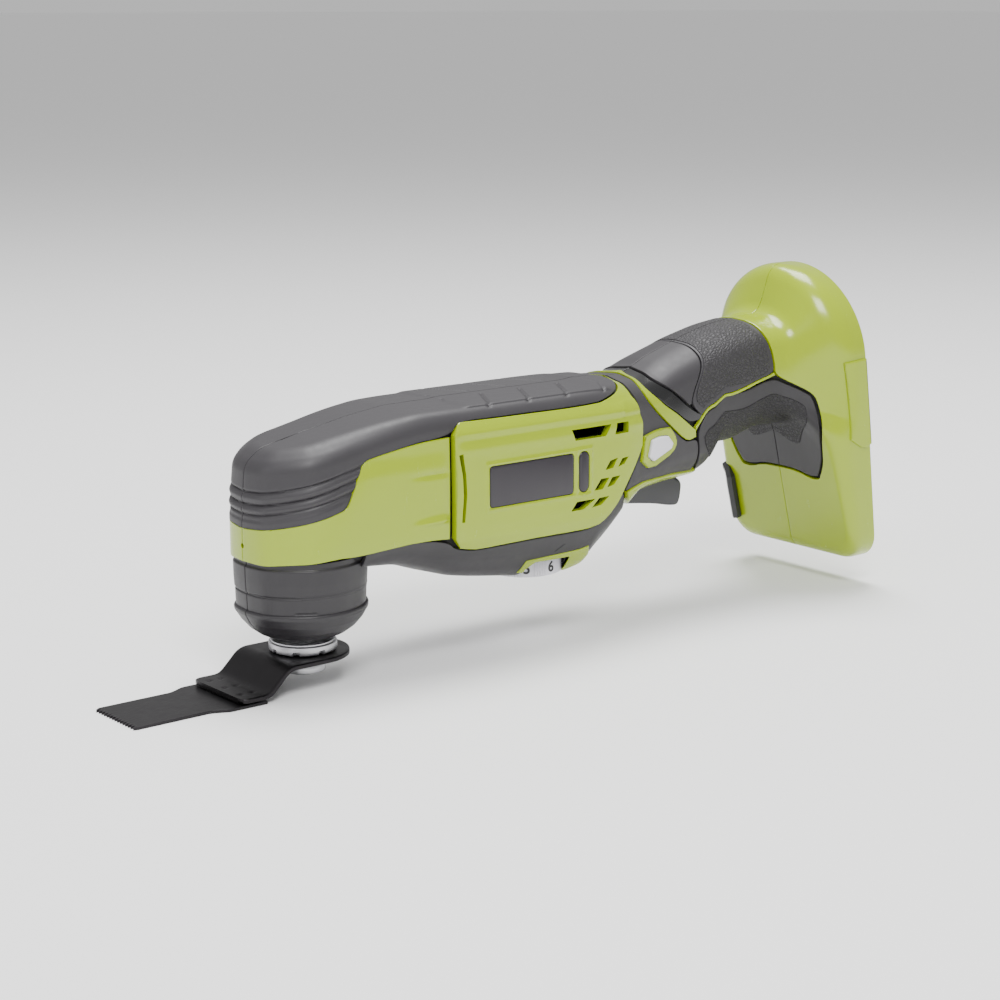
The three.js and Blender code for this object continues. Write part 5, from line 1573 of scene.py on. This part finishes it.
    def build_boot(self) -> None:
        """The soft boot about the spindle: a profile turned through half a circle on each side.

        Radius = profile radius times the head's soft-cornered outline in front, a plain circle behind.
        """
        profile = np.array([
            (12.9, -8.6), (14.6, -8.5), (17.0, -7.4), (20.4, -4.9), (23.2, -1.6), (24.5, 0.8), (25.1, 1.8),
            (25.2, 3.0),
            (24.9, 3.6), (24.3, 3.9), (24.4, 6.5), (24.5, 9.8), (24.15, 10.1), (24.15, 10.6), (24.7, 10.9),
            (24.95, 15),
            (25.05, 20.6), (24.5, 21.0), (24.3, 21.4), (24.3, 23.4),
        ])
        line = evened(profile[None], np.linspace(0, 1, 120))[0]
        azimuth = np.linspace(0.0, 180.0, 150)[:, None]
        corner = 1.0 + corner_growth(azimuth) * smoothstep(-6, 6, line[:, 1])
        radius = line[None, :, 0] * corner
        radius += 0.5 * ridge(10.36, 0.55, line[None, :, 1]) * smoothstep(48, 62, azimuth)
        slit = ridge(4.4, 0.5, line[None, :, 1]) * smoothstep(48, 52, azimuth) * smoothstep(72, 68, azimuth)
        radius -= 0.4 * slit
        a = np.radians(azimuth)
        height = np.repeat(line[None, :, 1], len(azimuth), 0)
        points = np.stack([-radius * np.cos(a), -radius * np.sin(a), height], axis=-1)
        points[..., 1] = np.minimum(points[..., 1], -0.12)
        along, up = np.gradient(points, axis=0), np.gradient(points, axis=1)
        normals = np.cross(along, up)
        normals /= np.maximum(np.linalg.norm(normals, axis=-1, keepdims=True), 1e-9)
        outward = np.sign((normals * (points * np.array([1.0, 1.0, 0.0]))).sum(-1, keepdims=True).mean())
        skin = shell(points, normals * outward, 1.5, 0.3)
        for side, made in (("left", skin), ("right", skin.mirrored())):
            self.shop.piece(f"boot_skin_{side}", made, "housing", Finish.DARK, [f"boot_{side}"])
        # painted shade: a near-black lining inside the boot, so gaps into the head read dark
        lining = tube(np.array([
            [(r * math.cos(t), r * math.sin(t), z) for t in np.linspace(0, 2 * np.pi, 72, endpoint=False)]
            for r, z in ((23.4, 22.8), (23.4, 3.0), (19.5, -3.4), (12.6, -7.0), (11.0, -7.0), (11.0, -5.4),
                         (18.6, -2.0), (22.2, 4.0), (22.2, 22.8))
        ]))
        self.shop.piece("boot_shade_lining", lining, "housing", Finish.HOLLOW)

    def build_dock(self) -> None:
        """The battery dock: rim, recess floor and stem socket, lofted through whole loops round the foot.

        Rings follow one another from the socket's end wall, up its sleeve, over the recess floor, up the rim
        and back down outside; the first and last ring are closed.
        """
        f = self.form
        count = 160  # points round each ring
        end, floor = -51.8, -6.2  # the socket's end wall and the recess floor, from the rear face
        ray = np.linspace(0, 2 * np.pi, count, endpoint=False) + np.pi / count

        def foot_loop(inset: float) -> Array:
            """The foot's outline drawn in, as (y, z)."""
            bearing = np.arcsin(np.sin(ray))
            half = f.arch(bearing, inset)
            return np.column_stack([np.sign(np.cos(ray)) * half[:, 0], half[:, 1]])

        def stem_loop(grow: float) -> Array:
            """The stem's rounded rectangle, as (y, z): a superellipse of power eight."""
            c, s = np.cos(ray), np.sin(ray)
            scale = (np.abs(c / (15 + grow)) ** 8 + np.abs(s / (18 + grow)) ** 8) ** (-1 / 8)
            return np.column_stack([scale * c, f.ray_z + scale * s])

        def level(loop: Array, back: float) -> Array:
            """The loop laid parallel to the rear face, `back` behind it."""
            return np.column_stack([f.rear_plane(loop[:, 1]) + back, loop])

        def sleeve(grow: float, back: float) -> Array:
            """The stem's loop at a depth, kept inside the handle's skin."""
            ring = level(stem_loop(grow), back)
            skin = f.place(f.locate([(p[0], -19.0, p[2]) for p in ring]))[0]
            side = np.abs(skin[:, 1]) - 3.2 + 0.8 * grow
            half = np.minimum(np.abs(ring[:, 1]), np.maximum(side, 2.0))
            return np.column_stack([ring[:, 0], np.sign(ring[:, 1]) * half, ring[:, 2]])

        middle = np.tile([0.0, f.ray_z], (count, 1))
        tip = middle + 0.02 * (stem_loop(0) - middle)
        rings = [
            level(tip, end), *(sleeve(0.0, back) for back in (end, -40.0, -28.0)),
            level(stem_loop(0), -16.0), level(stem_loop(0), -7.0), level(stem_loop(0.6), floor),
            level(foot_loop(3.6), floor), level(foot_loop(3.1), -5.6), level(foot_loop(3.0), -0.5),
            level(foot_loop(2.6), -0.05), level(foot_loop(1.9), 0.0), level(foot_loop(1.9), -0.4),
            level(foot_loop(2.0), -8.0), level(stem_loop(1.0), -8.4), level(stem_loop(1.0), -16.0),
            *(sleeve(1.0, back) for back in (-28.0, -40.0, -52.8)), level(tip, -52.8),
        ]
        self.shop.piece("battery_dock", tube(np.array(rings)), "housing", Finish.GREEN)


@dataclass
class Controls:
    """Dial, trigger, lock-on button, badges and the marks beside them."""

    shop: Workshop
    form: Form
    dial_x: float = 108.0
    dial_radius: float = 16.4
    dial_bottom: float = -1.2
    trigger_pivot: float = 151.5
    trigger_travel: float = 6.0
    digit_step: float = 38.0
    six_bearing: float = 274.0
    digit_height: float = 3.75  # the digits' middle above the dial's underside

    BUTTON = ((153.2, 43.3), (156.2, 41.0), (167.4, 45.0), (168.5, 47.3), (165.2, 50.9), (160, 51.2),
              (155.0, 50.3))
    BEZEL = ((155.2, 37.3), (167.1, 42.2), (171.2, 45.2), (171.2, 49.2), (167.1, 53.8), (160.1, 54.0),
             (151.2, 51.9), (149.6, 41.8))

    def build_plates(self) -> None:
        """Badges and inserts, their rims rounded, in their beds."""
        for side, sign in (("left", -1.0), ("right", 1.0)):
            outline = self.softened(self.box_loop(67.9, 110.0, 34.7, 50.8), 1.6)
            badge = prism_on_side(outline, 28.0, 29.25, sign, 0.35)
            self.shop.piece(f"badge_plate_{side}", badge, "housing", Finish.PLATE, [f"badge_{side}"])
            slot = Housing.rounded_slot(112.9, 118.1, 34.6, 51.0)
            insert = prism_on_side(slot, 27.8, 29.3, sign, 0.7)
            self.shop.piece(f"insert_plate_{side}", insert, "housing", Finish.PLATE, [f"side_insert_{side}"])

    @staticmethod
    def box_loop(x0: float, x1: float, z0: float, z1: float) -> list:
        """An upright rectangle's corners."""
        return [(x0, z0), (x1, z0), (x1, z1), (x0, z1)]

    @staticmethod
    def softened(outline: Sequence[Point], reach: float) -> Array:
        """A closed outline with rounded corners.

        Args:
            outline: its corners.
            reach: how far before and after a corner the curve runs.

        Returns:
            The rounded outline, as (n, 2).
        """
        loop = np.array(outline, float)
        mid = 0.5 * (loop[0] + loop[-1])
        closed = np.vstack([mid, loop, mid])[None]
        bent = filleted(closed, np.full((1, len(loop)), reach), 6, [2] * (len(loop) + 1))[0]
        return bent[:-1]

    def build_button(self) -> None:
        """The lock-on button and its green bezel, which follows the waist."""
        hole = prism(Housing.wound(self.softened(self.BUTTON, 0.6)), -60.0, -14.0)
        b = self.BEZEL
        bezel = Panel(self.form, (b[7], b[0], b[1]), (b[6], b[5], b[4]), front=(b[7], b[6]),
                      rear=(b[1], b[2], b[3], b[4]),
                      columns=60, rows=50, rise=1.4, depth=2.2, roll=0.7, soften=1)
        self.shop.piece("button_bezel", bezel.skin(), "housing", Finish.GREEN, (), [hole])
        centre = np.array([161.0, 46.2])
        loop = Housing.wound(self.softened(self.BUTTON, 0.6))
        loop = centre + (loop - centre) * 0.955
        cap = turned_to(slab(loop, (0.0, 9.0), 0.7, 4), (0, 2, 1), (1, -1, 1))
        tilt = (cap.points[:, 0] - 161.0) * 0.11
        outer = cap.points[:, 1] < -4.0
        cap.points[:, 1] += -16.4 + np.where(outer, tilt, 0.0)
        self.shop.piece("lock_button_cap", cap, "lock_button", Finish.PALE, ["lock_button"])

    def build_trigger(self) -> None:
        """The paddle: its side outline carried across, with rounded rims and a hollow for a finger."""
        outline = self.softened([
            (151.9, 24.0), (155.5, 20.4), (164.0, 19.3), (173.0, 18.0), (182.0, 16.0), (186.6, 15.6),
            (188.0, 19.0),
            (188.9, 26.0), (181.5, 30.0), (155.0, 32.6), (151.6, 31.0),
        ], 3.0)
        dense = evened(np.vstack([outline, outline[:1]])[None], np.linspace(0, 1, 160))[0][:-1]
        body = turned_to(slab(Housing.wound(dense), (-8.4, 8.4), 1.6, 5), (0, 2, 1))
        p = body.points
        hollow = 0.5 * smoothstep(24, 18, p[:, 2]) * smoothstep(9, 3, np.abs(p[:, 1]))
        p[:, 2] += hollow
        self.shop.piece("trigger_paddle", body, "trigger", Finish.BLACK, ["trigger"])

    def build_spring(self) -> None:
        """The trigger's return spring, wound from wire.

        Centre line = (R cos t, R sin t, rise t / turns); the wire's round section stands square to it.
        """
        low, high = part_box("trigger_spring")
        lay = self.shop.layout
        wire, turns = 0.45, 5.0
        bottom, top = (low.z - lay.lift) * 1000, (high.z - lay.lift) * 1000
        x = (low.x + high.x) * 500 - lay.spindle_x * 1000
        reach = (high.x - low.x) * 500 - wire
        t = np.linspace(0.0, 2 * np.pi * turns, 150)
        climb = bottom + wire + 0.1 + (top - bottom - 2 * wire - 0.2) * t / t[-1]
        spoke = np.column_stack([np.cos(t), np.sin(t), np.zeros_like(t)])
        line = spoke * reach + np.column_stack([np.full_like(t, x), np.zeros_like(t), climb])
        around = np.linspace(0, 2 * np.pi, 10, endpoint=False)[None, :, None]
        rings = line[:, None] + wire * (np.cos(around) * spoke[:,
            None] + np.sin(around) * np.array([0.0, 0.0, 1.0]))
        spring = self.shop.piece("return_spring", tube(rings), "housing", Finish.BRIGHT, ["trigger_spring"])
        travel = (x - self.trigger_pivot) * math.sin(math.radians(self.trigger_travel))
        keep = max(0.2, 1.0 - (travel + 0.3) / (top - bottom))
        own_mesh(spring)

    def build_dial(self) -> None:
        """The ribbed dial, its digits bent on the rim, and the pointer mark.

        Radius = 16.4 - 0.5 |sin 45 a| outside the digits' smooth fields.
        """
        six = math.radians(self.six_bearing)
        fields = six - np.radians(self.digit_step) * np.arange(6)

        def ribs(angle: Array, radius: Array, height: Array) -> Array:
            """Ribs on the rim, none under a digit."""
            near = np.min(np.abs((angle[..., None] - fields + np.pi) % (2 * np.pi) - np.pi), axis=-1)
            ribbed = smoothstep(0.13, 0.16, near)
            return radius + np.where(radius > 15.0, -0.5 * ribbed * np.abs(np.sin(angle * 45.0)), 0.0)

        r = self.dial_radius
        low = self.dial_bottom
        dial = turned([(3, low), (r - 1.6, low), (r - 0.4, low + 0.4), (r, low + 1.2), (r, low + 6.4),
                       (r - 0.4, low + 7.1),
                       (r - 1.0, low + 7.4), (3, low + 7.4), (3, low + 11.4)], (self.dial_x, 0), 540, ribs)
        self.shop.piece("dial_wheel", dial, "speed_dial", Finish.PALE, ["speed_dial"])
        for k in range(6):
            self.digit(str(6 - k), float(fields[k]))
        mark = Panel(self.form, ((106.6, 10.6), (110.0, 13.4)), ((105.6, 10.6), (109.2, 13.6)), columns=10,
                     rows=8, rise=0.28,
                     depth=0.6, roll=0.06)
        self.shop.piece("pointer_mark", mark.skin(), "housing", Finish.INK)

    def digit(self, character: str, bearing: float) -> None:
        """One digit as a thin shape wrapped round the dial's rim: angle = bearing + x / radius."""
        curve = bpy.data.curves.new("digit", "FONT")
        curve.body, curve.size, curve.extrude, curve.offset = character, 6.0, 0.12, 0.15
        curve.align_x = curve.align_y = "CENTER"
        text = bpy.data.objects.new("digit", curve)
        bpy.context.scene.collection.objects.link(text)
        bpy.context.view_layer.update()
        mesh = bpy.data.meshes.new_from_object(text.evaluated_get(bpy.context.evaluated_depsgraph_get()))
        bpy.data.objects.remove(text)
        flat = np.zeros(len(mesh.vertices) * 3)
        mesh.vertices.foreach_get("co", flat)
        flat = flat.reshape(-1, 3)
        angle = bearing + flat[:, 0] / self.dial_radius
        radius = self.dial_radius + 0.02 + flat[:, 2]
        height = self.dial_bottom + self.digit_height + flat[:, 1]
        points = np.column_stack([self.dial_x + radius * np.cos(angle), radius * np.sin(angle), height])
        faces = [tuple(p.vertices) for p in mesh.polygons]
        self.shop.piece(f"digit_{character}", Skin(points, faces), "speed_dial", Finish.INK)


def prism_on_side(outline: Array, inner: float, outer: float, sign: float, bevel: float) -> Skin:
    """A plate against the side wall, its face rounded off.

    Args:
        outline: (x, z) loop.
        inner: |y| of its back.
        outer: |y| of its face.
        sign: -1 on the left, 1 on the right.
        bevel: radius of its rims.

    Returns:
        The shape.
    """
    made = turned_to(slab(Housing.wound(outline), (inner, outer), bevel, 3), (0, 2, 1))
    return made if sign > 0 else made.mirrored()


@dataclass
class Business:
    """The working end: blade, bracket, flange, washer and screw, and the housing's screws."""

    shop: Workshop
    blade_half: float = 14.3
    reach: float = 81.7
    teeth: int = 15
    tooth: float = 1.7
    top_z: float = -26.6
    thickness: float = 1.2

    def build_blade(self) -> None:
        """The plunge blade: teeth, straight flanks that flare by an S-curve to the tail."""
        w, tail = self.blade_half, 17.4
        pitch = 2 * w / self.teeth
        k = np.arange(self.teeth)
        front = np.column_stack([
            np.column_stack([np.full(self.teeth, -self.reach + self.tooth),
                             np.full(self.teeth, -self.reach)]).ravel(),
            np.column_stack([w - k * pitch, w - (k + 0.62) * pitch]).ravel(),
        ])
        x = np.linspace(-52, -41, 14)
        flare = w + (tail - w) * smoothstep(-51, -42, x)
        side = np.vstack([[-self.reach + self.tooth, -w], np.column_stack([x, -flare]), [-27.5, -tail]])
        outline = np.vstack([front, side, side[:0:-1] * np.array([1.0, -1.0])])
        made = slab(Housing.wound(outline), (self.top_z - self.thickness, self.top_z), 0.12, 1)
        self.shop.piece("blade_steel", made, "spindle", Finish.BLADE, ["blade"])

    def build_bracket(self) -> None:
        """The cranked bracket: its plan outline bent through two folds, with a rolled rim and spot welds.

        Height over X follows two level runs joined by a slope with smooth folds; each point's thickness runs
        along the local normal of that line.
        """
        half, round_r = 17.75, 17.8
        x = np.concatenate([np.linspace(-38.3, 0, 90), round_r * np.sin(np.linspace(0, np.pi / 2, 30))[1:]])
        front = np.clip((x + 38.3) / 3.2, 0, 1)
        corner = half - 3.2 * (1 - np.sqrt(np.clip(1 - (1 - front) ** 2, 0, 1)))
        round_end = np.sqrt(np.maximum(round_r**2 - x**2, 0.02)) * half / round_r
        width = np.where(x < 0, corner, round_end)
        knots = np.array([[-38.3, -25.2], [-26.4, -25.2], [-17.2, -16.4], [round_r, -16.4]])
        path = filleted(knots[None], np.array([[3.0, 3.0]]), 10, (20, 10, 30))[0]
        mid = np.interp(x, path[:, 0], path[:, 1])
        slope = np.gradient(mid, x)
        normal = np.column_stack([-slope, np.ones_like(x)]) / np.hypot(slope, 1.0)[:, None]
        across = np.linspace(-1, 1, 61)
        xs, ys = np.repeat(x[:, None], 61, 1), width[:, None] * across[None]
        rim = 0.35 * (1 - np.sqrt(1 - np.clip((np.abs(across) - 0.96) / 0.04, 0, 1) ** 2 * 0.99))[None]
        dents = np.zeros_like(xs)
        for dx in (-35, -30):
            for dy in (-11, 0, 11):
                dents = np.maximum(dents, np.exp(-(((xs - dx) ** 2 + (ys - dy) ** 2) / 1.1)))
        layers = []
        for sign in (1.0, -1.0):
            lift = sign * (0.95 - rim) - (0.45 * dents if sign > 0 else 0.0)
            layers.append(np.stack([xs + normal[:, :1] * lift, ys, mid[:, None] + normal[:, 1:] * lift],
                                   axis=-1))
        n, m = xs.shape
        faces = grid_faces(n, m) + grid_faces(n, m, start=n * m, flip=True)
        last = (n - 1) * m
        edge = np.concatenate([np.arange(m), np.arange(1, n) * m + m - 1, last + np.arange(m - 2, -1, -1),
                               np.arange(n - 2, 0, -1) * m])
        nxt = np.roll(edge, -1)
        faces += [tuple(q) for q in np.column_stack([edge, nxt, nxt + n * m, edge + n * m]).tolist()]
        skin = Skin(np.vstack([layers[0].reshape(-1, 3), layers[1].reshape(-1, 3)]), faces)
        self.shop.piece("bracket_steel", skin, "spindle", Finish.BLADE, ["blade_bracket"],
                        [turned([(3.2, -30.0), (3.2, -10.0)], (0, 0), 40)])

    def build_clamp(self) -> None:
        """The bright flange with its notches, the dished washer and the screw with its hexagon."""
        def notched(angle: Array, radius: Array, height: Array) -> Array:
            """Eight notches in the flange's lower edge."""
            turn = (angle / (2 * np.pi) * 8 + 0.5) % 1.0
            cut = smoothstep(0.13, 0.1, np.abs(turn - 0.5)) * (height < -13.4) * (radius > 11.5)
            return radius - 1.5 * cut

        flange = turned([(5.4, -15.1), (12.3, -15.1), (12.8, -14.9), (13.0, -14.5), (13.0, -13.45),
                         (13.0, -13.35), (13.0, -11.9),
                         (12.6, -11.5), (12.2, -11.4), (12.2, -11.0), (11.6, -10.7), (5.4, -10.7)], (0, 0),
                        360, notched)
        self.shop.piece("flange_ring", flange, "spindle", Finish.BRIGHT, ["arbor_flange"])
        washer = turned([(3.4, -19.6), (8.4, -19.7), (10.4, -19.5), (11.0, -19.1), (11.0, -18.4),
                         (10.6, -17.8), (3.4, -17.7)],
                        (0, 0), 96)
        self.shop.piece("washer_disc", washer, "spindle", Finish.BRIGHT, ["clamp_washer"])
        hexagon = turned([(3.1, -27.0), (3.1, -21.3)], (0, 0), 6)
        screw = turned([(7.6, -23.6), (8.3, -23.3), (8.6, -22.7), (8.6, -20.6), (8.2, -20.1), (5.0, -20.0)],
                       (0, 0), 96)
        self.shop.piece("screw_head", screw, "spindle", Finish.BRIGHT, ["clamp_screw"], [hexagon])

    def build_screws(self) -> None:
        """The six housing screws' pan heads, each with a six-lobed recess."""
        for k in range(6):
            low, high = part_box(f"housing_screw_{k + 1}")
            x = ((low.x + high.x) / 2 - self.shop.layout.spindle_x) * 1000
            z = ((low.z + high.z) / 2 - self.shop.layout.lift) * 1000
            top = high.y * 1000
            head = turned([(1.5, -8.0), (1.5, -2.0), (3.0, -2.0), (3.0, -1.0), (2.7, -0.35), (2.0, -0.05),
                           (0.6, 0.0)], (0, 0), 40)
            lobes = turned([(1.35, -1.1), (1.35, 2.0)], (0, 0), 60, lambda a, r,
                           h: r * (1 + 0.16 * np.cos(6 * a)))
            laid = [turned_to(s, (0, 2, 1), (1, 1, 1)) for s in (head, lobes)]
            moved = [Skin(s.points + np.array([x, top, z]), s.faces) for s in laid]
            self.shop.piece(f"screw_{k + 1}", moved[0], "housing", Finish.BRIGHT, [f"housing_screw_{k + 1}"],
                            [moved[1]])


@dataclass
class Studio:
    """Floor, light and camera."""

    shop: Workshop

    def build(self) -> None:
        """A flat pale floor, three soft lights, even sky light and the camera."""
        x = y = np.array([-40.0, 40.0])
        grid = np.stack(np.meshgrid(x, y, indexing="ij") + [np.zeros((2, 2))], axis=-1).reshape(-1, 3)
        mesh = bpy.data.meshes.new("floor")
        mesh.from_pydata(grid, [], [(0, 2, 3, 1)])
        floor = bpy.data.objects.new("floor", mesh)
        bpy.context.scene.collection.objects.link(floor)
        mesh.materials.append(MouldedPlastic("studio_floor", (0.93, 0.93, 0.93, 1.0), 0.8, 3.0, 0.0,
            0.004).material())
        world = bpy.data.worlds.new("studio_sky")
        bpy.context.scene.world = world
        world.use_nodes = True
        background = world.node_tree.nodes["Background"]
        background.inputs["Color"].default_value = (1.0, 1.0, 1.0, 1.0)
        background.inputs["Strength"].default_value = 0.62
        self.lamp("key", (-0.5, -0.9, 1.3), (0.0, 0.0, 0.05), 0.6, 22.0)
        self.lamp("fill", (-1.5, 0.1, 0.7), (0.0, 0.0, 0.05), 0.5, 4.0)
        self.lamp("top", (0.3, 0.25, 1.5), (0.05, 0.0, 0.05), 0.7, 30.0)
        self.camera()

    def lamp(self, name: str, at: Point, to: Point, size: float, power: float) -> None:
        """One square soft light.

        Args:
            name: its name.
            at: where it stands, in metres.
            to: what it points at.
            size: its side in metres.
            power: its power in watts.
        """
        data = bpy.data.lights.new(name, "AREA")
        data.shape, data.size, data.energy = "SQUARE", size, power
        lamp = bpy.data.objects.new(name, data)
        bpy.context.scene.collection.objects.link(lamp)
        back = np.array(at) - np.array(to)
        lamp.matrix_world = self.facing(back / np.linalg.norm(back), at)

    @staticmethod
    def facing(back: Array, at: Point) -> Matrix:
        """A placement that looks along -back, with its X level.

        Args:
            back: unit direction away from what is looked at.
            at: where it stands.

        Returns:
            The placement.
        """
        right = np.cross([0.0, 0.0, 1.0], back)
        right /= np.linalg.norm(right)
        up = np.cross(back, right)
        return Matrix([(right[0], up[0], back[0], at[0]), (right[1], up[1], back[1], at[1]),
                       (right[2], up[2], back[2], at[2]), (0, 0, 0, 1)])

    def camera(self) -> None:
        """The camera: azimuth -38.75 degrees, 12.45 degrees above level."""
        data = bpy.data.cameras.new("camera")
        data.lens, data.sensor_width = 81.57, 36.0
        camera = bpy.data.objects.new("camera", data)
        bpy.context.scene.collection.objects.link(camera)
        turn, lift = math.radians(38.75), math.radians(12.45)
        back = np.array([-math.sin(turn) * math.cos(lift), -math.cos(turn) * math.cos(lift), math.sin(lift)])
        camera.matrix_world = self.facing(back, (-0.55882, -0.69325, 0.2531))
        bpy.context.scene.camera = camera


INNER = {
    Finish.CAST: ("gear_case", "gear_case_cover", "fork"),
    Finish.BRIGHT: ("lower_bearing", "upper_bearing", "front_motor_bearing", "rear_motor_bearing",
                    "motor_can", "spindle",
                    "armature_shaft", "eccentric", "eccentric_bearing"),
    Finish.MAGNET: ("magnet_lower", "magnet_upper"),
    Finish.CARBON: ("brush_left", "brush_right"),
    Finish.BLACK: ("end_bell", "fan", "switch_body", "terminal_block", "hex_key"),
    Finish.BOARD: ("speed_board",),
    Finish.BRASS: ("battery_contact_left", "battery_contact_right"),
    Finish.COPPER: ("commutator",),
    Finish.WINDING: ("armature_core",),
}


def main() -> None:
    """Builds every sub-assembly in order."""
    logging.basicConfig(level=logging.INFO, format="%(message)s")
    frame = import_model()
    shop = Workshop(Layout.from_frame(), frame["nodes"])
    form = Form()
    housing = Housing(shop, form)
    housing.build_shell()
    housing.build_overmoulds()
    housing.build_boot()
    housing.build_dock()
    controls = Controls(shop, form)
    controls.build_plates()
    controls.build_button()
    controls.build_trigger()
    controls.build_spring()
    controls.build_dial()
    business = Business(shop)
    business.build_blade()
    business.build_bracket()
    business.build_clamp()
    business.build_screws()
    for finish, nodes in INNER.items():
        for node in nodes:
            shop.dress(node, finish)
    Studio(shop).build()
    log.info("%d pieces", shop.made)


if __name__ == "__main__":
    main()
